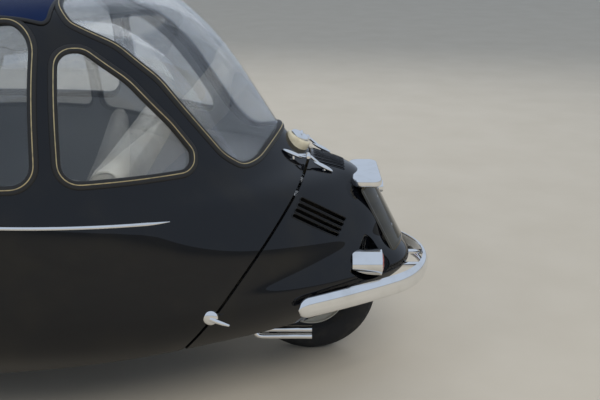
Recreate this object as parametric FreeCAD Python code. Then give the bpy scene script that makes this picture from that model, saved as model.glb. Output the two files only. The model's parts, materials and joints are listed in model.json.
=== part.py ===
"""Three-wheeled bubble car, in millimetres.

+X points forward, +Y to the car's left and +Z up. The origin lies on the ground
under the middle of the car's box.
"""
import FreeCAD, Part
import math
import os
from collections import namedtuple

Vector = FreeCAD.Vector
X_AXIS = Vector(1, 0, 0)
Y_AXIS = Vector(0, 1, 0)
Z_AXIS = Vector(0, 0, 1)

doc = FreeCAD.newDocument("BubbleCar")
sheet = doc.addObject("Spreadsheet::Sheet", "Sizes")

SIZES = {
    # running gear
    "front_axle_x": 905, "rear_axle_x": -855, "front_track": 1220, "axle_height": 235,
    "tyre_radius": 235, "tyre_width": 112, "rim_radius": 127, "rim_width": 84,
    "hub_bore": 15, "bearing_clearance": 0.05, "kingpin_radius": 14, "kingpin_offset": 78,
    # body shell
    "wall": 30, "shut_gap": 6, "glass_sink": 7, "glass_thickness": 5, "seal_width": 13,
    "seal_lip": 3, "arch_radius": 292, "arch_inner_y": 425, "arch_liner": 5,
    "roof_split_z": 1216, "bulkhead_x": -290, "sheet_thickness": 8, "shelf_z": 700, "fabric_gap": 0.5,
    "seat_half_width": 520, "cushion_front_x": 250, "cushion_top_z": 470, "seat_base_top_z": 345,
    "headlamp_z": 620, "headlamp_y": 617, "headlamp_radius": 68, "headlamp_front_x": 975, "floor_z": 262, "floor_thickness": 12,
    # tail cover
    "cover_crown_x": -845, "cover_crown_z": 750, "cover_slope": 0.79,
    "cover_hinge_x": -842, "cover_hinge_z": 768, "cover_hinge_y": 118,
    # front door
    "door_hinge_x": 1005, "door_hinge_y": 614, "door_sill_z": 330,
    "door_hinge_low_z": 508, "door_hinge_high_z": 745,
    # steering
    "wheel_centre_x": 430, "wheel_centre_y": 270, "wheel_centre_z": 800,
    "wheel_rim_radius": 190, "wheel_rim_tube": 11, "column_tilt": 42, "column_radius": 19,
}
for row, (name, value) in enumerate(SIZES.items(), start=1):
    sheet.set("A%d" % row, name)
    sheet.set("B%d" % row, str(value))
    sheet.setAlias("B%d" % row, name)
doc.recompute()


def size(name):
    return float(getattr(sheet, name))


# Plan outlines of the body, from the sill up. Each is a nose arc, a corner arc, a
# front and a rear side arc and a tail arc, tangent to each other.
#   z        height
#   nose_x   foremost point        nose_r    radius of the nose arc
#   corner_r radius of the corner  half      half width at widest_x
#   front_r  radius of the front side arc
#   tail_x   rearmost point        tail_r    radius of the tail arc
#   out, up  the share of a wall's thickness that lies outwards and upwards
Level = namedtuple("Level", "z nose_x nose_r corner_r half widest_x front_r tail_x tail_r out up")
LEVELS = [
    Level(200, 1120, 900, 240, 575, 150, 6000, -1010, 230, 1, 0),
    Level(320, 1190, 900, 270, 655, 150, 6500, -1165, 230, 1, 0),
    Level(395, 1215, 900, 280, 676, 150, 7000, -1222, 240, 1, 0),
    Level(450, 1225, 900, 290, 684, 150, 7000, -1165, 260, 1, 0),
    Level(560, 1225, 900, 300, 685, 150, 7000, -1105, 230, 1, 0),
    Level(655, 1205, 850, 300, 684, 150, 7000, -1045, 150, 1, 0),
    Level(700, 1190, 820, 300, 681, 150, 6500, -1000, 120, 1, 0),
    Level(750, 1165, 780, 300, 675, 150, 6000, -862, 110, 0.99, 0.1),
    Level(850, 1100, 720, 290, 655, 150, 4500, -750, 150, 0.97, 0.22),
    Level(1000, 960, 650, 260, 622, 120, 3000, -655, 260, 0.95, 0.3),
    Level(1130, 780, 620, 240, 575, 100, 2200, -565, 300, 0.85, 0.5),
    Level(1230, 570, 540, 220, 505, 80, 1800, -470, 300, 0.65, 0.75),
    Level(1280, 440, 450, 190, 425, 40, 1500, -397, 330, 0.4, 0.9),
    Level(1305, 310, 320, 150, 300, 20, 1200, -290, 250, 0.15, 0.98),
    Level(1318, 150, 150, 90, 130, 0, 900, -138, 110, 0, 1),
]


OUTLINE_STEPS = 26
EVEN_SHARE = 0.45
ROOF_EASE = 0.3


def arc_between(centre, radius, start, end):
    """The arc about centre from start to end, turning anticlockwise from above."""
    first = math.atan2(start.y - centre.y, start.x - centre.x)
    last = math.atan2(end.y - centre.y, end.x - centre.x)
    if last < first:
        last += 2 * math.pi
    middle = (first + last) / 2
    mid_point = centre + Vector(math.cos(middle), math.sin(middle), 0) * radius
    return Part.Arc(start, mid_point, end).toShape()


def mirrored(point):
    return Vector(point.x, -point.y, point.z)


def plan_outline(level, inset):
    """The closed outline of the body at one level, moved inwards by inset."""
    plan_inset = inset * level.out
    z = level.z - inset * level.up
    nose_r = level.nose_r - plan_inset
    corner_r = level.corner_r - plan_inset
    front_r = level.front_r - plan_inset
    tail_r = level.tail_r - plan_inset
    half = level.half - plan_inset
    tail_x = level.tail_x + plan_inset
    nose_centre = Vector(level.nose_x - level.nose_r, 0, z)
    front_centre = Vector(level.widest_x, level.half - level.front_r, z)
    tail_centre = Vector(level.tail_x + level.tail_r, 0, z)
    reach = level.widest_x - (tail_x + tail_r)
    rear_r = (reach ** 2 + half ** 2 - tail_r ** 2) / (2 * (half - tail_r))
    rear_centre = Vector(level.widest_x, half - rear_r, z)
    # the corner's centre lies on two circles, inside the nose and the side arc
    between = front_centre - nose_centre
    apart = between.Length
    nose_side = nose_r - corner_r
    front_side = front_r - corner_r
    along = (nose_side ** 2 - front_side ** 2 + apart ** 2) / (2 * apart)
    across = math.sqrt(nose_side ** 2 - along ** 2)
    step = between / apart
    corner_centre = nose_centre + step * along + Vector(-step.y, step.x, 0) * across
    if corner_centre.x < nose_centre.x:
        corner_centre = nose_centre + step * along - Vector(-step.y, step.x, 0) * across
    to_corner = (corner_centre - nose_centre).normalize()
    nose_end = nose_centre + to_corner * nose_r
    side_start = front_centre + (corner_centre - front_centre).normalize() * front_r
    widest = Vector(level.widest_x, half, z)
    tail_start = rear_centre + (tail_centre - rear_centre).normalize() * rear_r
    left = [
        arc_between(corner_centre, corner_r, nose_end, side_start),
        arc_between(front_centre, front_r, side_start, widest),
        arc_between(rear_centre, rear_r, widest, tail_start),
    ]
    nose = Part.Arc(mirrored(nose_end), Vector(nose_centre.x + nose_r, 0, z), nose_end).toShape()
    tail = Part.Arc(tail_start, Vector(tail_x, 0, z), mirrored(tail_start)).toShape()
    right = [
        arc_between(mirrored(rear_centre), rear_r, mirrored(tail_start), mirrored(widest)),
        arc_between(mirrored(front_centre), front_r, mirrored(widest), mirrored(side_start)),
        arc_between(mirrored(corner_centre), corner_r, mirrored(side_start), mirrored(nose_end)),
    ]
    return Part.Wire([nose] + left + [tail] + right)


def outline_points(level, inset):
    """Points along the left half of an outline, closer together at nose and tail."""
    nose, corner, front, rear, tail = plan_outline(level, inset).Edges[:5]
    parts = [(nose, 0.5, 1), (corner, 0, 1), (front, 0, 1), (rear, 0, 1), (tail, 0, 0.5)]
    total = sum(edge.Length * (last - first) for edge, first, last in parts)
    points = []
    for step in range(OUTLINE_STEPS + 1):
        even = step / OUTLINE_STEPS
        eased = (1 - math.cos(math.pi * even)) / 2
        left = total * (EVEN_SHARE * even + (1 - EVEN_SHARE) * eased)
        for edge, first, last in parts:
            run = edge.Length * (last - first)
            if left <= run + 1e-6:
                share = first + (last - first) * min(1, left / run)
                low, high = edge.FirstParameter, edge.LastParameter
                points.append(edge.valueAt(low + (high - low) * share))
                break
            left -= run
    points[0].y = 0
    points[-1].y = 0
    return points


def chord_parameters(rows):
    """One parameter per point, from the mean length of the chords before it."""
    parameters = [0.0]
    for i in range(1, len(rows[0])):
        chord = sum((row[i] - row[i - 1]).Length for row in rows) / len(rows)
        parameters.append(parameters[-1] + chord)
    return parameters


def cubic(points, parameters, start_slope, end_slope):
    curve = Part.BSplineCurve()
    curve.interpolate(Points=points, Parameters=parameters, InitialTangent=start_slope,
                      FinalTangent=end_slope, Scale=False)
    return curve


def body_surface(inset):
    """The left half of the body's surface, smooth along and across the outlines."""
    grid = [outline_points(level, inset) for level in LEVELS]
    along = chord_parameters(grid)
    upward = chord_parameters([list(column) for column in zip(*grid)])
    rows = []
    for points in grid:
        nose_slope = (points[1] - points[0]).Length / (along[1] - along[0])
        tail_slope = (points[-1] - points[-2]).Length / (along[-1] - along[-2])
        rows.append(cubic(points, along, Vector(0, nose_slope, 0), Vector(0, -tail_slope, 0)))
    poles = []
    for column in zip(*[row.getPoles() for row in rows]):
        column = list(column)
        sill_slope = (column[1] - column[0]) / (upward[1] - upward[0])
        roof_slope = (column[-1] - column[-2]) / (upward[-1] - upward[-2])
        roof_slope.z *= ROOF_EASE
        rise = cubic(column, upward, sill_slope, roof_slope)
        poles.append(rise.getPoles())
    surface = Part.BSplineSurface()
    surface.buildFromPolesMultsKnots(
        poles, rows[0].getMultiplicities(), rise.getMultiplicities(),
        rows[0].getKnots(), rise.getKnots(), False, False, 3, 3)
    return surface


def body_form(inset):
    """The whole body as one solid, its surface moved inwards by inset."""
    left = body_surface(inset).toShape()
    right = left.mirror(Vector(0, 0, 0), Y_AXIS).Faces[0]
    faces = [left, right]
    for level in (LEVELS[0], LEVELS[-1]):
        z = level.z - inset * level.up
        rim = [edge for face in (left, right) for edge in face.Edges
               if all(abs(vertex.Z - z) < 0.01 for vertex in edge.Vertexes)]
        faces.append(Part.Face(Part.Wire(Part.__sortEdges__(rim))))
    shell = Part.makeShell(faces)
    shell.sewShape()
    return Part.makeSolid(shell)


def rounded_wire(corners):
    """A closed wire in the XZ plane through corners of (x, z, radius)."""
    count = len(corners)
    points = [Vector(x, 0, z) for x, z, radius in corners]
    edges = []
    starts = []
    ends = []
    for i, (x, z, radius) in enumerate(corners):
        here = points[i]
        before = (points[i - 1] - here).normalize()
        after = (points[(i + 1) % count] - here).normalize()
        if radius == 0:
            starts.append(here)
            ends.append(here)
            edges.append(None)
            continue
        half_angle = before.getAngle(after) / 2
        cut = radius / math.tan(half_angle)
        first = here + before * cut
        last = here + after * cut
        bisector = (before + after).normalize()
        centre = here + bisector * (radius / math.sin(half_angle))
        starts.append(first)
        ends.append(last)
        edges.append(Part.Arc(first, centre - bisector * radius, last).toShape())
    outline = []
    for i in range(count):
        if edges[i] is not None:
            outline.append(edges[i])
        following = starts[(i + 1) % count]
        if ends[i].distanceToPoint(following) > 1e-4:
            outline.append(Part.makeLine(ends[i], following))
    return Part.Wire(outline)


def side_prism(corners, y_from=-900, y_to=900, grow=0):
    """The outline of corners (x, z, radius) as a prism along Y, grown by grow."""
    wire = rounded_wire(corners)
    if grow:
        wire = wire.makeOffset2D(grow)
    face = Part.Face(wire)
    face.translate(Vector(0, y_from, 0))
    return face.extrude(Vector(0, y_to - y_from, 0))


def box(x_from, x_to, y_from, y_to, z_from, z_to):
    return Part.makeBox(x_to - x_from, y_to - y_from, z_to - z_from, Vector(x_from, y_from, z_from))


def cylinder(radius, start, end):
    axis = end - start
    return Part.makeCylinder(radius, axis.Length, start, axis)


def both_sides(shape):
    """The shape and its mirror image on the car's other side."""
    return [shape, shape.mirror(Vector(0, 0, 0), Y_AXIS)]


def compound(shapes):
    return Part.makeCompound([solid for shape in shapes for solid in shape.Solids])


pieces = []


def piece(label, shape):
    """One named sub-part of the car."""
    solids = shape.Solids
    feature = doc.addObject("Part::Feature", label)
    feature.Label = label
    feature.Shape = solids[0] if len(solids) == 1 else Part.makeCompound(solids)
    pieces.append(feature)
    return feature


wall = size("wall")
gap = size("shut_gap")
half_gap = gap / 2
axle_z = size("axle_height")
front_x = size("front_axle_x")
rear_x = size("rear_axle_x")

# Outlines seen from the side, as corners of (x, z, radius).
SIDE_WINDOW = [(-92, 815, 75), (-98, 1236, 70), (400, 1236, 60), (708, 828, 60)]
QUARTER_WINDOW = [(-150, 805, 62), (-140, 1195, 52), (-232, 1190, 40), (-545, 812, 45)]
BUBBLE_EDGE = [(-84, 1345, 0), (-300, 1118, 900), (-625, 770, 60), (-705, 790, 60), (-790, 880, 0), (-900, 1345, 0)]
WINDSCREEN = [(378, 1345, 0), (527, 1207, 250), (688, 1012, 400), (800, 872, 55), (1300, 872, 0), (1300, 1345, 0)]
DOOR_EDGE = [(330, 1345, 0), (480, 1205, 300), (640, 1010, 500), (775, 850, 250), (960, 715, 250),
             (1060, 610, 200), (1108, 500, 200), (1122, 330, 0), (1400, 330, 0), (1400, 1345, 0)]
SUNROOF = (-104, 312, 420)
SILL_LINE = [(-1300, 120), (1300, 120), (1300, 215), (100, 222), (-540, 262), (-880, 262), (-1180, 372), (-1300, 380)]

outer = body_form(0)
inner = body_form(wall)
shell = outer.cut(inner)
below = side_prism([(x, z, 0) for x, z in SILL_LINE])
shell = shell.cut(below)


def cover_space(shift):
    """Everything behind the tail cover's shut plane, moved back by shift."""
    slope = size("cover_slope")
    crown_x = size("cover_crown_x") - shift * math.hypot(1, slope)
    crown_z = size("cover_crown_z")
    top = 1000
    low = 100
    return side_prism([
        (crown_x - slope * (top - crown_z), top, 0),
        (crown_x + slope * (crown_z - low), low, 0),
        (-1500, low, 0),
        (-1500, top, 0),
    ])


door_space = side_prism(DOOR_EDGE, grow=-half_gap)
door_clear = side_prism(DOOR_EDGE, grow=half_gap)
arch_radius = size("arch_radius")
arch_y = size("arch_inner_y")
arch_cuts = both_sides(cylinder(arch_radius, Vector(front_x, arch_y, axle_z), Vector(front_x, 800, axle_z)))
sun_front, sun_half = SUNROOF[1], SUNROOF[2]
sun_rear = SUNROOF[0]
sunroof_space = box(sun_rear, sun_front, -sun_half, sun_half, 1150, 1400)

seal = size("seal_width")
side_openings = [side_prism(SIDE_WINDOW), side_prism(QUARTER_WINDOW)]
bubble_opening = side_prism(BUBBLE_EDGE)

# Body panels: two sides up to the roof rails, the roof frame, the apron and the door.
fixed_shell = shell.cut(door_clear).cut(cover_space(-half_gap)).cut(Part.makeCompound(arch_cuts))
fixed_shell = fixed_shell.cut(Part.makeCompound(side_openings)).cut(bubble_opening)
split_z = size("roof_split_z")
apron_space = box(1000, 1400, -arch_y, arch_y, 100, size("door_sill_z") - gap)
for side, shape in (("left", box(-1300, 1300, 0, 900, 100, split_z)), ("right", box(-1300, 1300, -900, 0, 100, split_z))):
    piece("side_panel_" + side, fixed_shell.common(shape).cut(apron_space))
piece("roof_panel", fixed_shell.common(box(-900, 900, -900, 900, split_z, 1400)).cut(sunroof_space))
piece("front_apron", shell.common(box(1000, 1400, -arch_y, arch_y, 100, size("door_sill_z") - gap)))
piece("door_shell", shell.common(door_space).cut(side_prism(WINDSCREEN)).cut(Part.makeCompound(arch_cuts)))
cover = shell.common(cover_space(half_gap))
tail_lamp_x = -1085
tail_lamp_y = 230
tail_lamp_z = 430
niche_r = 62
niche_floor = -1040
for side in (1, -1):
    cup_end = Vector(-1300, side * tail_lamp_y, tail_lamp_z)
    cup = outer.common(cylinder(niche_r + 8, Vector(niche_floor + 12, side * tail_lamp_y, tail_lamp_z), cup_end))
    cover = cover.fuse(cup).cut(cylinder(niche_r, Vector(niche_floor, side * tail_lamp_y, tail_lamp_z), cup_end))
piece("cover_shell", cover)

# Glass and seals sit in the openings, just under the body's surface.
sink = size("glass_sink")
glass_layer = body_form(sink).cut(body_form(sink + size("glass_thickness")))
seal_layer = body_form(-size("seal_lip")).cut(body_form(wall / 2))
glasses = []
seals = []
for corners in (SIDE_WINDOW, QUARTER_WINDOW):
    for y_from, y_to in ((0, 900), (-900, 0)):
        whole = side_prism(corners, y_from, y_to)
        pane = side_prism(corners, y_from, y_to, -seal)
        glasses.append(glass_layer.common(pane).cut(door_clear))
        seals.append(seal_layer.common(whole.cut(pane)).cut(door_clear))
piece("side_windows", compound(glasses))
bubble_pane = side_prism(BUBBLE_EDGE, grow=-seal)
seals.append(seal_layer.common(bubble_opening.cut(bubble_pane)))
piece("window_seals", compound(seals))
piece("rear_bubble", glass_layer.common(bubble_pane))
screen_opening = side_prism(WINDSCREEN)
screen_pane = side_prism(WINDSCREEN, grow=-seal)
piece("windscreen", glass_layer.common(screen_pane))
piece("windscreen_seal", seal_layer.common(screen_opening.cut(screen_pane)))

# Floor, wheel arches, rear shelf and seat.
floor_z = size("floor_z")
floor_top = floor_z + size("floor_thickness")
bulkhead_x = size("bulkhead_x")
sheet_t = size("sheet_thickness")
shelf_z = size("shelf_z")
liner = size("arch_liner")
liner_cuts = both_sides(cylinder(arch_radius + liner, Vector(front_x, arch_y - liner, axle_z), Vector(front_x, 800, axle_z)))
floor = inner.common(box(bulkhead_x, 1250, -800, 800, floor_z, floor_top)).cut(Part.makeCompound(liner_cuts)).cut(door_clear)
piece("floor_pan", floor)
arches = []
for solid, hollow in zip(liner_cuts, arch_cuts):
    arches.append(inner.common(solid.cut(hollow)).common(box(500, 1250, -800, 800, floor_z, 700)).cut(door_clear))
piece("wheel_arches", compound(arches))
rear_space = cover_space(-half_gap)
bulkhead = box(bulkhead_x - sheet_t, bulkhead_x, -800, 800, floor_z, shelf_z - sheet_t)
shelf = box(-900, bulkhead_x, -800, 800, shelf_z - sheet_t, shelf_z)
piece("rear_shelf", inner.common(bulkhead.fuse(shelf).removeSplitter()).cut(rear_space))

seat_half = size("seat_half_width")
cushion_front = size("cushion_front_x")
cushion_top = size("cushion_top_z")
base_top = size("seat_base_top_z")
back_foot = bulkhead_x + 130
piece("seat_base", box(back_foot - 110, cushion_front - 30, -seat_half + 20, seat_half - 20, floor_top, base_top))
piece("seat_cushion", side_prism([
    (back_foot - 20, base_top, 10), (cushion_front, base_top, 30), (cushion_front + 10, cushion_top, 45),
    (back_foot + 10, cushion_top - 20, 30)], -seat_half, seat_half))
piece("seat_back", side_prism([
    (bulkhead_x, base_top, 0), (back_foot - 21, base_top, 0), (back_foot + 8, cushion_top - 21, 0),
    (back_foot - 60, 850, 40), (bulkhead_x, 850, 20)], -seat_half, seat_half))

# Sliding cloth roof over the front of the cabin.
fabric_layer = body_form(-size("seal_lip") - 2).cut(body_form(wall / 3))
inset = size("fabric_gap")
piece("sunroof_fabric", fabric_layer.common(box(sun_rear + inset, sun_front - inset, -sun_half + inset, sun_half - inset, 1150, 1400)))

# Steering column and wheel.
wheel_centre = Vector(size("wheel_centre_x"), size("wheel_centre_y"), size("wheel_centre_z"))
tilt = math.radians(size("column_tilt"))
column_axis = Vector(-math.sin(tilt), 0, math.cos(tilt))
column_r = size("column_radius")
rim_r = size("wheel_rim_radius")
tube = size("wheel_rim_tube")
foot_run = (wheel_centre.z - floor_top) / column_axis.z
column_top = wheel_centre - column_axis * 60
column_foot = wheel_centre - column_axis * (foot_run + 40)
column = cylinder(column_r, column_foot, column_top).cut(box(0, 1200, -400, 800, 0, floor_top))
shaft_bore = 9 + size("bearing_clearance")
column = column.cut(cylinder(shaft_bore, wheel_centre - column_axis * 102, wheel_centre))
piece("steering_column", column)
wheel = Part.makeTorus(rim_r, tube, wheel_centre, column_axis)
hub = cylinder(30, wheel_centre - column_axis * 57, wheel_centre - column_axis * 10)
wheel = wheel.fuse(hub).fuse(cylinder(9, wheel_centre - column_axis * 100, wheel_centre - column_axis * 20))
for turn in (90, 210, 330):
    direction = Y_AXIS
    spoke_dir = FreeCAD.Rotation(column_axis, turn).multVec(Y_AXIS)
    wheel = wheel.fuse(cylinder(8, wheel_centre - column_axis * 30, wheel_centre + spoke_dir * rim_r))
piece("steering_wheel", wheel.removeSplitter())

# Wheels: a pressed rim with its hub, a tyre and at the front a hub cap.
tyre_r = size("tyre_radius")
tyre_w = size("tyre_width")
rim_radius = size("rim_radius")
rim_w = size("rim_width")
bore = size("hub_bore") + size("bearing_clearance")
skin = 9
half_tyre = tyre_w / 2
half_rim = rim_w / 2


def turned(points, centre, side):
    """A ring about the wheel's axis from points of (radius, outward), closed."""
    wire = Part.makePolygon([Vector(radius, out, 0) for radius, out in points + points[:1]])
    ring = Part.Face(wire).revolve(Vector(0, 0, 0), Y_AXIS, 360)
    if side < 0:
        ring = ring.mirror(Vector(0, 0, 0), Y_AXIS)
    ring.translate(centre)
    return ring


def tyre_shape(centre):
    def ring_wire(depth, flat):
        bead = Vector(rim_radius, half_rim - depth * flat, 0)
        belly = Vector((rim_radius + tyre_r) / 2 + 4, half_tyre - depth, 0)
        shoulder = Vector(tyre_r - 12 - depth, half_tyre - 14 - depth * 0.6, 0)
        crown = Vector(tyre_r - depth, 0, 0)
        flip = lambda p: Vector(p.x, -p.y, 0)
        return bead, belly, shoulder, crown, flip
    bead, belly, shoulder, crown, flip = ring_wire(0, 1)
    bead2, belly2, shoulder2, crown2, _ = ring_wire(skin, 1)
    edges = [
        Part.Arc(bead, belly, shoulder).toShape(),
        Part.Arc(shoulder, crown, flip(shoulder)).toShape(),
        Part.Arc(flip(shoulder), flip(belly), flip(bead)).toShape(),
        Part.makeLine(flip(bead), flip(bead2)),
        Part.Arc(flip(bead2), flip(belly2), flip(shoulder2)).toShape(),
        Part.Arc(flip(shoulder2), crown2, shoulder2).toShape(),
        Part.Arc(shoulder2, belly2, bead2).toShape(),
        Part.makeLine(bead2, bead),
    ]
    ring = Part.Face(Part.Wire(edges)).revolve(Vector(0, 0, 0), Y_AXIS, 360)
    ring.translate(centre)
    return ring


def rim_shape(centre, side):
    well = rim_radius - 16
    sheet_w = 4
    barrel = [
        (rim_radius, half_rim), (rim_radius, half_rim - 14), (well, half_rim - 24), (well, -half_rim + 24),
        (rim_radius, -half_rim + 14), (rim_radius, -half_rim), (rim_radius - sheet_w, -half_rim),
        (rim_radius - sheet_w, -half_rim + 12), (well - sheet_w, -half_rim + 22), (well - sheet_w, -6),
        (84, -2), (70, 12), (34, 12), (34, 22), (bore, 22), (bore, -36), (34, -36), (34, 7), (67, 7), (82, -8),
        (well - sheet_w, -12), (well - sheet_w, half_rim - 22), (rim_radius - sheet_w, half_rim - 12),
        (rim_radius - sheet_w, half_rim),
    ]
    outer_part = [p for p in barrel]
    points = [
        (rim_radius, half_rim), (rim_radius, half_rim - 14), (well, half_rim - 24), (well, -half_rim + 24),
        (rim_radius, -half_rim + 14), (rim_radius, -half_rim), (rim_radius - sheet_w, -half_rim),
        (rim_radius - sheet_w, -half_rim + 12), (well - sheet_w, -half_rim + 22), (well - sheet_w, -10),
        (84, -8), (68, 7), (34, 7), (34, -36), (bore, -36), (bore, 22), (34, 22), (34, 12), (70, 12), (86, -3),
        (well - sheet_w, -4), (well - sheet_w, half_rim - 22), (rim_radius - sheet_w, half_rim - 12),
        (rim_radius - sheet_w, half_rim),
    ]
    return turned(points, centre, side)


def cap_shape(centre, side):
    points = [(0, 36), (38, 33), (62, 24), (72, 12.0), (68, 12.0), (58, 21), (36, 29), (0, 32)]
    return turned(points, centre, side)


track_half = size("front_track") / 2
pin_r = size("kingpin_radius")
pin_y = track_half - size("kingpin_offset")
stub_r = size("hub_bore")
for side, name in ((1, "left"), (-1, "right")):
    centre = Vector(front_x, side * track_half, axle_z)
    piece("front_tyre_" + name, tyre_shape(centre))
    piece("front_rim_" + name, rim_shape(centre, side))
    piece("hub_cap_" + name, cap_shape(centre, side))
    arm_in = pin_y - 24
    arm_out = track_half - 52
    lower, upper = sorted((side * arm_in, side * arm_out))
    yoke = box(front_x - 18, front_x + 18, lower, upper, axle_z + 36, axle_z + 54)
    yoke = yoke.fuse(box(front_x - 18, front_x + 18, lower, upper, axle_z - 54, axle_z - 36))
    lower, upper = sorted((side * arm_out, side * (track_half - 40)))
    yoke = yoke.fuse(box(front_x - 26, front_x + 26, lower, upper, axle_z - 54, axle_z + 54))
    yoke = yoke.fuse(cylinder(stub_r, Vector(front_x, side * (track_half - 45), axle_z), Vector(front_x, side * (track_half + 26), axle_z)))
    yoke = yoke.fuse(cylinder(pin_r, Vector(front_x, side * pin_y, axle_z - 54), Vector(front_x, side * pin_y, axle_z + 54)))
    piece("knuckle_" + name, yoke.removeSplitter())

beam = cylinder(22, Vector(front_x, -pin_y, axle_z), Vector(front_x, pin_y, axle_z))
for side in (1, -1):
    beam = beam.fuse(cylinder(24, Vector(front_x, side * pin_y, axle_z - 35), Vector(front_x, side * pin_y, axle_z + 35)))
    beam = beam.fuse(box(front_x - 30, front_x + 30, side * 230 - 30, side * 230 + 30, axle_z - 5, floor_z))
for side in (1, -1):
    beam = beam.cut(cylinder(pin_r + size("bearing_clearance"), Vector(front_x, side * pin_y, 100), Vector(front_x, side * pin_y, 400)))
piece("front_axle", beam.removeSplitter())

# Rear wheel on its arm, with the engine beside it.
rear_centre = Vector(rear_x, 0, axle_z)
piece("rear_tyre", tyre_shape(rear_centre))
piece("rear_rim", rim_shape(rear_centre, 1))
arm_y = -88
pivot = Vector(-470, 0, 292)
arm = cylinder(34, Vector(rear_x, arm_y - 18, axle_z), Vector(rear_x, arm_y + 18, axle_z))
arm = arm.fuse(cylinder(stub_r, Vector(rear_x, arm_y + 10, axle_z), Vector(rear_x, 24, axle_z)))
arm = arm.fuse(cylinder(18, Vector(rear_x, arm_y, axle_z), Vector(pivot.x, arm_y, pivot.z)))
arm = arm.fuse(cylinder(24, Vector(pivot.x, -130, pivot.z), Vector(pivot.x, 90, pivot.z)))
piece("rear_swing_arm", arm)
brackets = []
for y_from in (-146, 90):
    brackets.append(box(pivot.x - 30, bulkhead_x - sheet_t, y_from, y_from + 16, pivot.z - 30, pivot.z + 30))
piece("arm_brackets", compound(brackets))
damper = cylinder(20, Vector(-745, arm_y - 4, 300), Vector(-700, arm_y - 4, shelf_z - sheet_t))
damper = damper.cut(box(-900, -500, -300, 300, shelf_z - sheet_t, 900)).cut(arm)
piece("rear_damper", cylinder(20, Vector(-760, arm_y - 4, 240), Vector(-700, arm_y - 4, shelf_z + 20)).cut(
    box(-900, -500, -300, 300, shelf_z - sheet_t, 900)).cut(arm).cut(box(-900, -600, -300, 300, 0, 270)))
piece("engine_block", box(-610, bulkhead_x - sheet_t, -400, -160, 330, 590))

# Exhaust: a silencer with two chrome pipes.
silencer = cylinder(46, Vector(-600, 290, 330), Vector(bulkhead_x - sheet_t, 290, 330))
piece("silencer", silencer)
pipes = []
for index, z in enumerate((216, 190)):
    start = Vector(-600, 290, 330 - 16 + 0 * index + (16 if index == 0 else -12))
    points = [start, start + Vector(-22, 0, 0), Vector(-670, 290, z), Vector(rear_x, 290, z)]
    run = [Part.makeLine(points[0], points[1]), Part.makeLine(points[1], points[2]), Part.makeLine(points[2], points[3])]
    tube_shape = None
    for first, last in zip(points[:-1], points[1:]):
        leg = cylinder(10, first, last)
        tube_shape = leg if tube_shape is None else tube_shape.fuse(leg).fuse(Part.makeSphere(10, first))
    pipes.append(tube_shape.removeSplitter())
piece("tail_pipes", compound(pipes))

# Bright trim on the sides.
strip_outer = body_form(-5)
strip_layer = strip_outer.cut(outer)
strip = side_prism([(-440, 694, 0), (-400, 688, 0), (0, 712, 0), (900, 745, 0), (900, 760, 0), (0, 727, 0), (-400, 702, 0)])
piece("side_strips", strip_layer.common(strip))

# Filler cap, cover hinges and latches.
cap_foot = Vector(-807, 0, 793)
cap_axis = Vector(-0.5, 0, 0.866)
base = cylinder(41, cap_foot - cap_axis * 60, cap_foot + cap_axis * 12).cut(outer)
piece("filler_base", base)
piece("filler_cap", cylinder(34, cap_foot + cap_axis * 12, cap_foot + cap_axis * 30))
hinge_x = size("cover_hinge_x")
hinge_z = size("cover_hinge_z")
hinge_y = size("cover_hinge_y")
front_leaves = []
rear_leaves = []
for side in (1, -1):
    y = side * hinge_y
    hinge_pin = cylinder(5, Vector(hinge_x, y - 18, hinge_z), Vector(hinge_x, y + 18, hinge_z))
    for end in (-1, 1):
        centre_y = y + end * 14
        hinge_pin = hinge_pin.fuse(cylinder(9, Vector(hinge_x, centre_y - 4.5, hinge_z), Vector(hinge_x, centre_y + 4.5, hinge_z)))
        bend = Vector(hinge_x + 14, centre_y, hinge_z + 3)
        hinge_pin = hinge_pin.fuse(cylinder(4, Vector(hinge_x, centre_y, hinge_z), bend)).fuse(Part.makeSphere(4, bend))
        hinge_pin = hinge_pin.fuse(cylinder(4, bend, Vector(hinge_x + 52, y, hinge_z + 14)))
    hinge_pin = hinge_pin.fuse(Part.makeSphere(7, Vector(hinge_x + 52, y, hinge_z + 14)))
    hinge_pin = hinge_pin.fuse(cylinder(6, Vector(hinge_x + 52, y, hinge_z + 14), Vector(hinge_x + 52, y, hinge_z - 60)).cut(outer))
    front_leaves.append(hinge_pin.cut(outer))
    barrel = cylinder(9, Vector(hinge_x, y - 9, hinge_z), Vector(hinge_x, y + 9, hinge_z))
    barrel = barrel.fuse(cylinder(4, Vector(hinge_x, y, hinge_z), Vector(hinge_x - 62, y, hinge_z - 26)))
    barrel = barrel.fuse(Part.makeSphere(7, Vector(hinge_x - 62, y, hinge_z - 26)))
    barrel = barrel.fuse(cylinder(6, Vector(hinge_x - 62, y, hinge_z - 26), Vector(hinge_x - 62, y, hinge_z - 90)).cut(outer))
    barrel = barrel.cut(cylinder(5.05, Vector(hinge_x, y - 30, hinge_z), Vector(hinge_x, y + 30, hinge_z)))
    rear_leaves.append(barrel.cut(outer))
piece("hinge_front_leaves", compound(front_leaves))
piece("hinge_rear_leaves", compound(rear_leaves))
latch = []
for side in (1, -1):
    shape = cylinder(24, Vector(-545, side * 480, 384), Vector(-545, side * 552, 384)).cut(outer)
    shape = shape.fuse(cylinder(7, Vector(-545, side * 545, 384), Vector(-600, side * 548, 362)))
    latch.append(shape.cut(outer))
piece("cover_latches", compound(latch))

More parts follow.
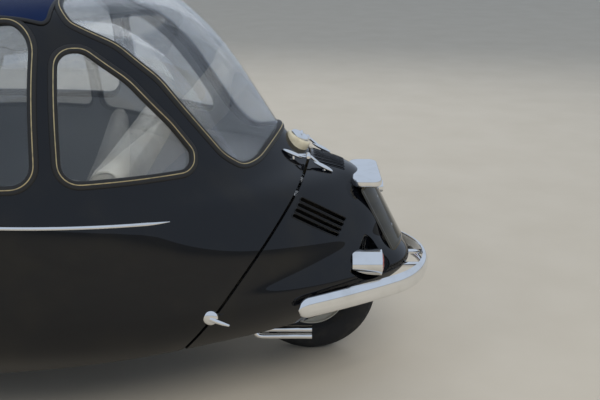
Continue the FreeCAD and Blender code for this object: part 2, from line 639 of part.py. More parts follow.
# Lamps.
lamp_z = size("headlamp_z")
lamp_y = size("headlamp_y")
lamp_r = size("headlamp_radius")
lamp_front = size("headlamp_front_x")
shells = []
lenses = []
for side in (1, -1):
    y = side * lamp_y
    pod = cylinder(lamp_r, Vector(lamp_front - 170, y, lamp_z), Vector(lamp_front, y, lamp_z))
    pod = pod.fuse(Part.makeCone(20, lamp_r, 120, Vector(lamp_front - 290, y, lamp_z), X_AXIS))
    pod = pod.cut(cylinder(lamp_r - 8, Vector(lamp_front - 14, y, lamp_z), Vector(lamp_front + 5, y, lamp_z)))
    shells.append(pod.cut(outer))
    lens = cylinder(lamp_r - 8.3, Vector(lamp_front - 14, y, lamp_z), Vector(lamp_front, y, lamp_z))
    dome = Part.makeSphere(150, Vector(lamp_front + 12 - 150, y, lamp_z)).common(
        cylinder(lamp_r - 8.3, Vector(lamp_front - 1, y, lamp_z), Vector(lamp_front + 30, y, lamp_z)))
    lenses.append(lens.fuse(dome).cut(outer))
piece("headlamp_shells", compound(shells))
piece("headlamp_glasses", compound(lenses))
housings = []
reds = []
for side in (1, -1):
    y = side * tail_lamp_y
    housings.append(cylinder(42, Vector(niche_floor, y, tail_lamp_z), Vector(tail_lamp_x, y, tail_lamp_z)))
    reds.append(cylinder(37, Vector(tail_lamp_x, y, tail_lamp_z), Vector(tail_lamp_x - 10, y, tail_lamp_z)))
piece("tail_lamp_housings", compound(housings))
piece("tail_lamp_lenses", compound(reds))

# Number plate and its lamp hood.
plate_r = 175
plate_half = 130
plate_low = Vector(-1192, 0, 440)
plate_up = Vector(math.tan(math.radians(28)), 0, 1) * 212
half_angle = math.asin(plate_half / plate_r)
arc_points = [Vector(-math.cos(a) * plate_r, math.sin(a) * plate_r, 0) for a in (-half_angle, 0, half_angle)]
inner_points = [p * ((plate_r - 3) / plate_r) for p in arc_points]
outline = Part.Wire([
    Part.Arc(*arc_points).toShape(), Part.makeLine(arc_points[2], inner_points[2]),
    Part.Arc(inner_points[2], inner_points[1], inner_points[0]).toShape(), Part.makeLine(inner_points[0], arc_points[0])])
plate = Part.Face(outline).extrude(plate_up)
plate.translate(plate_low + Vector(plate_r, 0, 0))
plate = plate.cut(outer)
for y in (-60, 60):
    for share in (0.3, 0.85):
        at = plate_low + plate_up * share
        post = cylinder(8, Vector(at.x + 12, y, at.z), Vector(at.x + 120, y, at.z)).cut(outer)
        if post.Volume > 1:
            plate = plate.fuse(post)
piece("number_plate", plate.removeSplitter())
hood = box(-1092, -985, -128, 128, 660, 692).cut(outer)
piece("plate_lamp_hood", hood)

# Bumpers.


def blade(path, thickness, height):
    """A bumper blade swept along a level path; the path is its outer face."""
    start = path.Edges[0]
    point = start.valueAt(start.FirstParameter)
    along = start.tangentAt(start.FirstParameter)
    inward = Vector(-along.y, along.x, 0)
    if inward.dot(Vector(0, 0, point.z) - point) < 0:
        inward = inward * -1
    low = point - Z_AXIS * (height / 2)
    high = point + Z_AXIS * (height / 2)
    face = Part.makePolygon([low, high, high + inward * thickness, low + inward * thickness, low])
    return path.makePipeShell([face], True, False)


apex = -1275
centre_r = 300
swing = math.radians(57)
corner = Vector(apex + centre_r - centre_r * math.cos(swing), centre_r * math.sin(swing), 352)
tip = Vector(-815, 440, 352)
chord = tip - corner
bow = Vector(-chord.y, chord.x, 0).normalize() * 6
middle = (tip + corner) * 0.5 + bow
path = Part.Wire([
    Part.Arc(tip, middle, corner).toShape(), Part.Arc(corner, Vector(apex, 0, 352), mirrored(corner)).toShape(),
    Part.Arc(mirrored(corner), mirrored(middle), mirrored(tip)).toShape()])
bumper = blade(path, 20, 70)
stays = []
for side in (1, -1):
    bumper = bumper.fuse(cylinder(9, Vector(-1250, side * 60, 352), Vector(-1100, side * 60, 352)).cut(outer))
    bumper = bumper.fuse(cylinder(9, Vector(-900, side * 392, 352), Vector(-900, side * 250, 352)).cut(outer))
piece("rear_bumper", bumper.removeSplitter())
front_face = 1275
front_arc_r = 850
spread = math.asin(395 / front_arc_r)
arc = [Vector(front_face - front_arc_r + front_arc_r * math.cos(a), front_arc_r * math.sin(a), 280) for a in (-spread, 0, spread)]
front_bumper = blade(Part.Wire([Part.Arc(*arc).toShape()]), 20, 70)
for side in (1, -1):
    front_bumper = front_bumper.fuse(cylinder(9, Vector(1240, side * 200, 280), Vector(1100, side * 200, 280)).cut(outer))
piece("front_bumper", front_bumper.removeSplitter())

# Door furniture.
handle_from = Vector(1078, -405, 770)
handle_to = Vector(1116, -335, 770)
handle_run = (handle_to - handle_from).normalize() * 14
handle = cylinder(8, handle_from - handle_run, handle_to + handle_run)
for end in (handle_from, handle_to):
    handle = handle.fuse(cylinder(7, end, end - X_AXIS * 90).cut(outer))
piece("door_handle", handle)

# Door hinges: a fixed lug with its pin and the door's arm, low and high on the left.
door_x = size("door_hinge_x")
door_y = size("door_hinge_y")
low_z = size("door_hinge_low_z")
high_z = size("door_hinge_high_z")
pin_r = 5
knuckle_r = 9
clearance = size("bearing_clearance")
strap_space = body_form(-14).cut(body_form(-6))
foot_space = body_form(-14).cut(outer)
lugs = []
door_arms = []
for z, foot in ((low_z, Vector(door_x - 8, door_y - 60, 0)), (high_z, Vector(door_x - 105, door_y - 45, 0))):
    lug = cylinder(pin_r, Vector(door_x, door_y, z - 20), Vector(door_x, door_y, z + 20))
    for end in (-14, 14):
        lug = lug.fuse(cylinder(knuckle_r, Vector(door_x, door_y, z + end - 5), Vector(door_x, door_y, z + end + 5)))
        lug = lug.fuse(cylinder(4.5, Vector(door_x, door_y, z + end), Vector(foot.x, foot.y, z + end)))
    lug = lug.fuse(Part.makeSphere(knuckle_r, Vector(door_x, door_y, z + 19)))
    lug = lug.cut(cylinder(knuckle_r + 2, Vector(door_x, door_y, z - 9), Vector(door_x, door_y, z + 9)))
    lug = lug.fuse(cylinder(pin_r, Vector(door_x, door_y, z - 20), Vector(door_x, door_y, z + 20)))
    lugs.append(lug.cut(outer))
    arm = cylinder(knuckle_r, Vector(door_x, door_y, z - 8), Vector(door_x, door_y, z + 8))
    if z == low_z:
        strap = strap_space.common(box(door_x, 1150, 0, 700, z - 8, z + 8))
        arm = arm.fuse(box(door_x - 4, door_x + 12, door_y - 22, door_y, z - 8, z + 8)).fuse(strap)
        arm = arm.fuse(foot_space.common(box(1122, 1150, 0, 700, z - 16, z + 16)))
    else:
        arm = arm.fuse(cylinder(8, Vector(door_x, door_y, z), Vector(door_x - 2, door_y - 170, z)).cut(outer))
        arm = arm.fuse(foot_space.common(box(door_x - 24, door_x + 20, 400, 560, z - 20, z + 20)))
    arm = arm.cut(cylinder(pin_r + clearance, Vector(door_x, door_y, z - 40), Vector(door_x, door_y, z + 40)))
    door_arms.append(arm.cut(outer))
piece("door_hinge_lugs", compound(lugs))
piece("door_hinge_arms", compound(door_arms))

# Under the floor: pads for a jack and the tow eye.
pad_half = 45
pads = []
for side in (1, -1):
    pads.append(box(50 - pad_half, 50 + pad_half, side * 430 - pad_half, side * 430 + pad_half, floor_z - 8, floor_z))
piece("jack_pads", compound(pads))
eye_x = 1055
eye_z = 220
eye_r = 13
tongue = box(eye_x - 40, eye_x, -25, 25, eye_z - 6, eye_z + 6)
tongue = tongue.fuse(cylinder(25, Vector(eye_x, 0, eye_z - 6), Vector(eye_x, 0, eye_z + 6)))
tongue = tongue.fuse(box(eye_x - 52, eye_x - 40, -25, 25, eye_z - 6, floor_z))
piece("tow_eye", tongue.cut(cylinder(eye_r, Vector(eye_x, 0, eye_z - 20), Vector(eye_x, 0, eye_z + 20))).removeSplitter())

for feature in pieces:
    print(feature.Label, round(feature.Shape.Volume / 1e6, 2), feature.Shape.isValid(), len(feature.Shape.Solids))
os.makedirs("parts", exist_ok=True)
for feature in pieces:
    feature.Shape.exportStep("parts/%s.step" % feature.Label)
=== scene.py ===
"""Looks of the bubble car: smooth paint, glass, chrome, rubber, leather and cloth over its frame."""
import json
import math
from collections import namedtuple

import bmesh
import bpy
import numpy as np
from mathutils import Matrix, Vector
from mathutils.bvhtree import BVHTree


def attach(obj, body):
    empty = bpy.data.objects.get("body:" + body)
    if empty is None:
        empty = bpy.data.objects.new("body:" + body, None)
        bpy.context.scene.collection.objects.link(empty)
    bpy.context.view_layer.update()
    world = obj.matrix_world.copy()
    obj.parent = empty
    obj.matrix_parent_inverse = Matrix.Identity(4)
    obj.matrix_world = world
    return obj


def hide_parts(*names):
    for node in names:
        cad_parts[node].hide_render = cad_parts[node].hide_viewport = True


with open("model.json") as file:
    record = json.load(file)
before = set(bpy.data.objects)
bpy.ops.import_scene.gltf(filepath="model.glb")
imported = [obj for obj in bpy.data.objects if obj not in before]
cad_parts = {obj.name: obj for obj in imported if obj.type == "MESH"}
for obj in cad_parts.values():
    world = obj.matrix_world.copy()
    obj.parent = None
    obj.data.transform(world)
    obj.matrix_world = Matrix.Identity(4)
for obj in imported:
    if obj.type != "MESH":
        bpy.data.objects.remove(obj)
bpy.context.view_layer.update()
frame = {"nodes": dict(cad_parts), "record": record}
scene = bpy.context.scene
MM = 0.001

# The camera stands at the car's left, a little above the roof, behind the side window.
CAMERA_PLACE, CAMERA_DOWN = (-0.815, 2.843, 1.549), 18.96
LENS, SENSOR = 51, 36
camera = bpy.data.objects.new("camera", bpy.data.cameras.new("camera"))
camera.data.lens, camera.data.sensor_width = LENS, SENSOR
camera.location = CAMERA_PLACE
camera.rotation_euler = (math.radians(90 - CAMERA_DOWN), 0, math.radians(180))
scene.collection.objects.link(camera)
scene.camera = camera

# The body's surface: plan outlines from the sill up, smooth along and across.
#   z        height
#   nose_x   foremost point        nose_r    radius of the nose arc
#   corner_r radius of the corner  half      half width at widest_x
#   front_r  radius of the front side arc
#   tail_x   rearmost point        tail_r    radius of the tail arc
#   out, up  the share of a wall's thickness that lies outwards and upwards
# At z 395 and 450 the tail lies up to 19 mm ahead of the solids', as in the photograph.
Level = namedtuple("Level", "z nose_x nose_r corner_r half widest_x front_r tail_x tail_r out up")
LEVELS = [
    Level(200, 1120, 900, 240, 575, 150, 6000, -1010, 230, 1, 0),
    Level(320, 1190, 900, 270, 655, 150, 6500, -1165, 230, 1, 0),
    Level(395, 1215, 900, 280, 676, 150, 7000, -1203, 240, 1, 0),
    Level(450, 1225, 900, 290, 684, 150, 7000, -1151, 260, 1, 0),
    Level(560, 1225, 900, 300, 685, 150, 7000, -1105, 230, 1, 0),
    Level(655, 1205, 850, 300, 684, 150, 7000, -1045, 150, 1, 0),
    Level(700, 1190, 820, 300, 681, 150, 6500, -1000, 120, 1, 0),
    Level(750, 1165, 780, 300, 675, 150, 6000, -862, 110, 0.99, 0.1),
    Level(850, 1100, 720, 290, 655, 150, 4500, -750, 150, 0.97, 0.22),
    Level(1000, 960, 650, 260, 622, 120, 3000, -655, 260, 0.95, 0.3),
    Level(1130, 780, 620, 240, 575, 100, 2200, -565, 300, 0.85, 0.5),
    Level(1230, 570, 540, 220, 505, 80, 1800, -470, 300, 0.65, 0.75),
    Level(1280, 440, 450, 190, 425, 40, 1500, -397, 330, 0.4, 0.9),
    Level(1305, 310, 320, 150, 300, 20, 1200, -290, 250, 0.15, 0.98),
    Level(1318, 150, 150, 90, 130, 0, 900, -138, 110, 0, 1),
]
OUTLINE_STEPS = 26
EVEN_SHARE = 0.45
ROOF_EASE = 0.3


def outline_points(level, inset):
    """Points along the left half of one outline, closer together at nose and tail."""
    flat_inset = inset * level.out
    nose_r, corner_r, front_r, tail_r = (
        radius - flat_inset for radius in (level.nose_r, level.corner_r, level.front_r, level.tail_r))
    half = level.half - flat_inset
    tail_x = level.tail_x + flat_inset
    nose = np.array([level.nose_x - level.nose_r, 0.0])
    front = np.array([level.widest_x, level.half - level.front_r])
    tail = np.array([level.tail_x + level.tail_r, 0.0])
    reach = level.widest_x - (tail_x + tail_r)
    rear_r = (reach ** 2 + half ** 2 - tail_r ** 2) / (2 * (half - tail_r))
    rear = np.array([level.widest_x, half - rear_r])
    apart = np.linalg.norm(front - nose)
    step = (front - nose) / apart
    nose_side, front_side = nose_r - corner_r, front_r - corner_r
    forward = (nose_side ** 2 - front_side ** 2 + apart ** 2) / (2 * apart)
    across = math.sqrt(nose_side ** 2 - forward ** 2)
    corner = nose + step * forward + np.array([-step[1], step[0]]) * across
    if corner[0] < nose[0]:
        corner = nose + step * forward - np.array([-step[1], step[0]]) * across

    def bearing(start, end):
        return math.atan2(end[1] - start[1], end[0] - start[0])

    arcs = [
        (nose, nose_r, 0, bearing(nose, corner)),
        (corner, corner_r, bearing(nose, corner), bearing(front, corner)),
        (front, front_r, bearing(front, corner), math.pi / 2),
        (rear, rear_r, math.pi / 2, bearing(rear, tail)),
        (tail, tail_r, bearing(rear, tail), math.pi),
    ]
    total = sum(radius * (last - first) for _, radius, first, last in arcs)
    points = []
    for index in range(OUTLINE_STEPS + 1):
        even = index / OUTLINE_STEPS
        eased = (1 - math.cos(math.pi * even)) / 2
        left = total * (EVEN_SHARE * even + (1 - EVEN_SHARE) * eased)
        for centre, radius, first, last in arcs:
            run = radius * (last - first)
            if left <= run + 1e-6:
                angle = first + min(left, run) / radius
                points.append([centre[0] + radius * math.cos(angle), centre[1] + radius * math.sin(angle),
                               level.z - inset * level.up])
                break
            left -= run
    points[0][1] = points[-1][1] = 0
    return points


def spline_slopes(values, knots, first_slope, last_slope):
    """Slopes at the knots of the cubic through values whose end slopes are given."""
    count = len(knots)
    run = np.diff(knots)
    system = np.zeros((count, count))
    right = np.zeros_like(values)
    system[0, 0] = system[-1, -1] = 1
    right[0], right[-1] = first_slope, last_slope
    for i in range(1, count - 1):
        system[i, i - 1:i + 2] = 1 / run[i - 1], 2 / run[i - 1] + 2 / run[i], 1 / run[i]
        right[i] = 3 * ((values[i] - values[i - 1]) / run[i - 1] ** 2 + (values[i + 1] - values[i]) / run[i] ** 2)
    return np.linalg.solve(system, right.reshape(count, -1)).reshape(values.shape)


def spline_weights(knots, at):
    """Span and weights of (low, high, low slope, high slope) for value and derivative."""
    span = np.clip(np.searchsorted(knots, at, side="right") - 1, 0, len(knots) - 2)
    run = knots[span + 1] - knots[span]
    t = (at - knots[span]) / run
    value = ((1 + 2 * t) * (1 - t) ** 2, t * t * (3 - 2 * t), t * (1 - t) ** 2 * run, t * t * (t - 1) * run)
    change = (6 * t * (t - 1) / run, 6 * t * (1 - t) / run, (1 - t) * (1 - 3 * t), t * (3 * t - 2))
    return span, value, change


class Skin:
    """The left half of the body's surface, moved inwards by inset millimetres.

    A place on it is (s, t): s counts outline points from nose to tail, t levels."""

    def __init__(self, inset):
        grid = np.array([outline_points(level, inset) for level in LEVELS])
        along = np.linalg.norm(np.diff(grid, axis=1), axis=2).mean(axis=0)
        upward = np.linalg.norm(np.diff(grid, axis=0), axis=2).mean(axis=1)
        self.along = np.concatenate([[0], np.cumsum(along)])
        self.upward = np.concatenate([[0], np.cumsum(upward)])
        self.rows = grid.transpose(1, 0, 2)
        ends = np.zeros((2, len(LEVELS), 3))
        ends[0, :, 1] = np.linalg.norm(self.rows[1] - self.rows[0], axis=1) / along[0]
        ends[1, :, 1] = -np.linalg.norm(self.rows[-1] - self.rows[-2], axis=1) / along[-1]
        self.slopes = spline_slopes(self.rows, self.along, ends[0], ends[1])

    def at(self, s, t):
        """Points and outward normals at the places (s, t)."""
        s, t = np.asarray(s, float), np.asarray(t, float)
        u = np.interp(s, np.arange(OUTLINE_STEPS + 1), self.along)
        v = np.interp(t, np.arange(len(LEVELS)), self.upward)
        span, value, change = spline_weights(self.along, u)

        def blend(weights, low, high, low_slope, high_slope):
            return sum(w.reshape(w.shape + (1,) * (low.ndim - w.ndim)) * part
                       for w, part in zip(weights, (low, high, low_slope, high_slope)))

        parts = self.rows[span], self.rows[span + 1], self.slopes[span], self.slopes[span + 1]
        span, rise, climb = spline_weights(self.upward, v)
        picked = np.arange(len(v))
        surface = []
        for weights in (value, change):
            column = np.moveaxis(blend(weights, *parts), 1, 0)
            first = (column[1] - column[0]) / (self.upward[1] - self.upward[0])
            last = (column[-1] - column[-2]) / (self.upward[-1] - self.upward[-2])
            last = last * np.array([1, 1, ROOF_EASE])
            slope = spline_slopes(column, self.upward, first, last)
            ends = column[span, picked], column[span + 1, picked], slope[span, picked], slope[span + 1, picked]
            surface.append((blend(rise, *ends), blend(climb, *ends)))
        (point, up), (forward, _) = surface
        normal = np.cross(forward, up)
        length = np.linalg.norm(normal, axis=1, keepdims=True)
        return point, normal / np.maximum(length, 1e-9)


class Wire:
    """A node's output; sums and products with it add Math nodes."""

    def __init__(self, finish, socket):
        self.finish = finish
        self.socket = socket

    def math(self, operation, *values):
        return self.finish.node("ShaderNodeMath", {"operation": operation}, *values)

    def __add__(self, other):
        return self.math("ADD", self, other)

    def __radd__(self, other):
        return self.math("ADD", other, self)

    def __mul__(self, other):
        return self.math("MULTIPLY", self, other)

    def __rmul__(self, other):
        return self.math("MULTIPLY", other, self)

    def sine(self):
        return self.math("SINE", self)


class Finish:
    """A material with a Principled shader; plain numbers sit on its sockets."""

    def __init__(self, name, colour, roughness, metallic=0.0, **plain):
        self.material = bpy.data.materials.new(name)
        self.material.use_nodes = True
        self.tree = self.material.node_tree
        self.shader = self.tree.nodes["Principled BSDF"]
        self.set("Base Color", colour)
        self.set("Roughness", roughness)
        self.set("Metallic", metallic)
        for key, value in plain.items():
            self.set(key.replace("_", " "), value)
        self.material.diffuse_color = (*colour, 1)

    def plug(self, target, value):
        """Links a wire to a socket, or sets a number, vector or colour on it."""
        if isinstance(value, Wire):
            self.tree.links.new(value.socket, target)
        else:
            target.default_value = (*value, 1) if target.type == "RGBA" else value

    def set(self, socket, value):
        self.plug(self.shader.inputs[socket], value)

    def node(self, kind, settings, *values, output=0, **named):
        made = self.tree.nodes.new(kind)
        for key, value in settings.items():
            setattr(made, key, value)
        for key, value in (*enumerate(values), *named.items()):
            self.plug(made.inputs[key], value)
        return Wire(self, made.outputs[output])

    def place(self):
        return self.node("ShaderNodeTexCoord", {}, output="Object")

    def noise(self, scale, detail):
        return self.node("ShaderNodeTexNoise", {}, Vector=self.place(), Scale=scale, Detail=detail)

    def cells(self, scale):
        return self.node("ShaderNodeTexVoronoi", {}, Vector=self.place(), Scale=scale)

    def weave(self, pitch):
        """Crossing threads pitch metres apart, as a height from 0 to 1."""
        turn = 2 * math.pi / pitch
        x_wave, y_wave = ((self.node("ShaderNodeSeparateXYZ", {}, self.place(), output=axis) * turn).sine()
                          for axis in "XY")
        return 0.5 + 0.25 * (x_wave + y_wave)

    def mix(self, mask, low, high):
        made = self.tree.nodes.new("ShaderNodeMix")
        made.data_type = "RGBA"
        for index, value in ((0, mask), (6, low), (7, high)):
            self.plug(made.inputs[index], value)
        return Wire(self, made.outputs[2])

    def spread(self, mask, low, high):
        """A mask's values from low to high, eased between 0 and 1."""
        return self.node("ShaderNodeMapRange", {"interpolation_type": "SMOOTHSTEP"}, mask, low, high, 0.0, 1.0)


def finish_of(name, colour, roughness, metallic, mask, tones=None, fade=None, rough=None, relief=None, **plain):
    """A material that varies by a mask.

    mask    (pattern, its numbers...): "noise" with scale and detail, "cells" with scale, "weave" with pitch
    tones   the two colours that the mask runs between; fade is the part of its range where it does, if not all
    rough   the least roughness and what the mask adds, then the part of its range, if not all
    relief  patterns, each after the first with its share in front, then the bump's strength and distance;
            with no pattern the mask is the relief
    """
    finish = Finish(name, colour, roughness, metallic, **plain)
    pattern = getattr(finish, mask[0])(*mask[1:])

    def faded(ends):
        return finish.spread(pattern, *ends) if ends else pattern

    if tones:
        finish.set("Base Color", finish.mix(faded(fade), *tones))
    if rough:
        least, added, *ends = rough
        finish.set("Roughness", least + added * faded(ends))
    if relief:
        *forms, strength, distance = relief
        height = pattern
        if forms:
            (kind, *numbers), *finer = forms
            height = getattr(finish, kind)(*numbers)
            for share, kind, *numbers in finer:
                height = height + share * getattr(finish, kind)(*numbers)
        bump = finish.node("ShaderNodeBump", {}, Height=height, Strength=strength, Distance=distance)
        finish.set("Normal", bump)
    return finish.material


FINISH = {
    "body_paint": finish_of(
        "black_paint", (0.003, 0.0036, 0.005), 0.3, 0, ("noise", 7, 6),
        ((0.0025, 0.003, 0.0045), (0.007, 0.0066, 0.006)), (0.45, 0.8), (0.25, 0.2, 0.35, 0.75),
        (("noise", 55, 2), 0.04, 0.0005),
        Specular_IOR_Level=0.0, Coat_Weight=1.0, Coat_Roughness=0.02, Coat_IOR=1.45),
    "bright_chrome": finish_of(
        "chrome", (0.86, 0.865, 0.87), 0.05, 1.0, ("noise", 18, 5), ((0.88, 0.885, 0.89), (0.74, 0.735, 0.72)),
        (0.45, 0.9), (0.035, 0.08, 0.5, 0.85), (("noise", 30, 2), 0.03, 0.001)),
    "clear_glass": finish_of(
        "clear_glass", (0.93, 0.965, 0.99), 0.0, 0, ("noise", 9, 4), rough=(0.01, 0.03, 0.5, 0.9),
        Transmission_Weight=1.0, IOR=1.42, Alpha=0.6),
    "seal_rubber": finish_of(
        "rubber", (0.012, 0.012, 0.012), 0.42, 0, ("noise", 140, 4),
        ((0.006, 0.006, 0.006), (0.015, 0.014, 0.013)), rough=(0.34, 0.25), relief=(0.15, 0.0006)),
    "dark_metal": finish_of(
        "underbody", (0.018, 0.018, 0.018), 0.6, 0, ("noise", 12, 8),
        ((0.014, 0.014, 0.015), (0.075, 0.062, 0.045)), (0.4, 0.75), (0.45, 0.4), (("noise", 90, 5), 0.3, 0.001)),
    "tyre_rubber": finish_of(
        "tyre_rubber", (0.02, 0.02, 0.02), 0.75, 0, ("noise", 25, 7),
        ((0.011, 0.011, 0.012), (0.036, 0.032, 0.027)), (0.45, 0.85), (0.62, 0.25),
        (("noise", 260, 3), 0.25, 0.0004)),
    "wheel_paint": finish_of(
        "wheel_paint", (0.66, 0.63, 0.54), 0.28, 0, ("noise", 16, 6), ((0.66, 0.63, 0.54), (0.30, 0.26, 0.2)),
        (0.5, 0.85), Coat_Weight=0.4, Coat_Roughness=0.1),
    "cream_plastic": finish_of(
        "cream_plastic", (0.66, 0.58, 0.40), 0.25, 0, ("noise", 30, 5), ((0.68, 0.61, 0.44), (0.45, 0.38, 0.24)),
        (0.35, 0.8), (0.2, 0.25), Coat_Weight=0.3),
    "cream_leather": finish_of(
        "cream_leather", (0.6, 0.55, 0.45), 0.5, 0, ("noise", 9, 5), ((0.66, 0.62, 0.53), (0.5, 0.45, 0.36)),
        (0.3, 0.8), (0.42, 0.2), (("cells", 420), (0.6, "noise", 120, 4), 0.25, 0.0008)),
    "roof_cloth": finish_of(
        "roof_cloth", (0.003, 0.012, 0.055), 0.75, 0, ("noise", 6, 5),
        ((0.002, 0.010, 0.045), (0.005, 0.018, 0.07)), (0.3, 0.8),
        relief=(("weave", 0.0016), (0.4, "noise", 300, 3), 0.35, 0.0006),
        Specular_IOR_Level=0.15, Sheen_Weight=0.06),
    "grey_carpet": finish_of(
        "carpet", (0.13, 0.13, 0.135), 0.95, 0, ("noise", 420, 4), ((0.075, 0.078, 0.085), (0.2, 0.2, 0.21)),
        relief=(0.7, 0.003), Sheen_Weight=0.3),
    "red_lens": finish_of(
        "red_lens", (0.42, 0.008, 0.006), 0.08, 0, ("cells", 160), ((0.5, 0.01, 0.008), (0.22, 0.004, 0.004)),
        relief=(0.4, 0.001), Coat_Weight=0.6, Transmission_Weight=0.25),
    # Number plate: a dark glossy sheet; the olive-brown metallic tint of its colour and both tones is a painted
    # reflection of the ground, their noisy mix an uneven tone.
    "black_plate": finish_of(
        "plate_painted_ground_reflection", (0.05, 0.042, 0.026), 0.1, 0.85, ("noise", 14, 5),
        ((0.066, 0.056, 0.035), (0.034, 0.03, 0.021)), (0.35, 0.75), (0.08, 0.14, 0.4, 0.8),
        Coat_Weight=0.6, Coat_Roughness=0.03),
    "cast_steel": finish_of(
        "cast_metal", (0.05, 0.048, 0.045), 0.6, 0.5, ("noise", 150, 5),
        ((0.035, 0.034, 0.033), (0.11, 0.085, 0.06)), (0.35, 0.7), relief=(0.4, 0.001)),
    "engine_alloy": finish_of(
        "engine_alloy", (0.4, 0.4, 0.4), 0.5, 0.8, ("noise", 22, 7), ((0.42, 0.42, 0.42), (0.14, 0.12, 0.1)),
        (0.35, 0.75), relief=(("noise", 200, 3), 0.25, 0.001)),
}
GOLD = finish_of("gold_bead", (0.62, 0.5, 0.27), 0.3, 0.75, ("noise", 60, 5),
                 ((0.62, 0.5, 0.27), (0.36, 0.3, 0.19)), (0.4, 0.75))
LINING = finish_of("lining", (0.17, 0.185, 0.2), 0.7, 0, ("noise", 5, 4),
                   ((0.15, 0.165, 0.18), (0.2, 0.21, 0.225)), relief=(("cells", 300), 0.2, 0.0006))
MILK = finish_of("milk_lens", (0.85, 0.84, 0.8), 0.12, 0, ("noise", 60, 3), rough=(0.1, 0.1), Coat_Weight=0.5)
slot_of = {part["node"]: part["material_slot"] for part in frame["record"]["subparts"]}
for name, node in frame["nodes"].items():
    node.data.materials.clear()
    node.data.materials.append(FINISH[slot_of[name]])


def piece(name, points, faces, body, slot, replaces, normals=None, extra=(), picks=None):
    """A mesh piece from millimetre points, riding on a body in a record slot's finish."""
    mesh = bpy.data.meshes.new(name)
    mesh.from_pydata((np.asarray(points, float) * MM).tolist(), [], [list(map(int, face)) for face in faces])
    mesh.materials.append(FINISH[slot])
    for material in extra:
        mesh.materials.append(material)
    if picks is not None:
        mesh.polygons.foreach_set("material_index", np.asarray(picks, np.int32))
    mesh.polygons.foreach_set("use_smooth", np.full(len(mesh.polygons), True))
    mesh.update()
    if normals is not None:
        mesh.normals_split_custom_set_from_vertices(np.asarray(normals, float).tolist())
    thing = bpy.data.objects.new(name, mesh)
    scene.collection.objects.link(thing)
    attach(thing, body)
    if replaces:
        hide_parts(*replaces)
    return thing


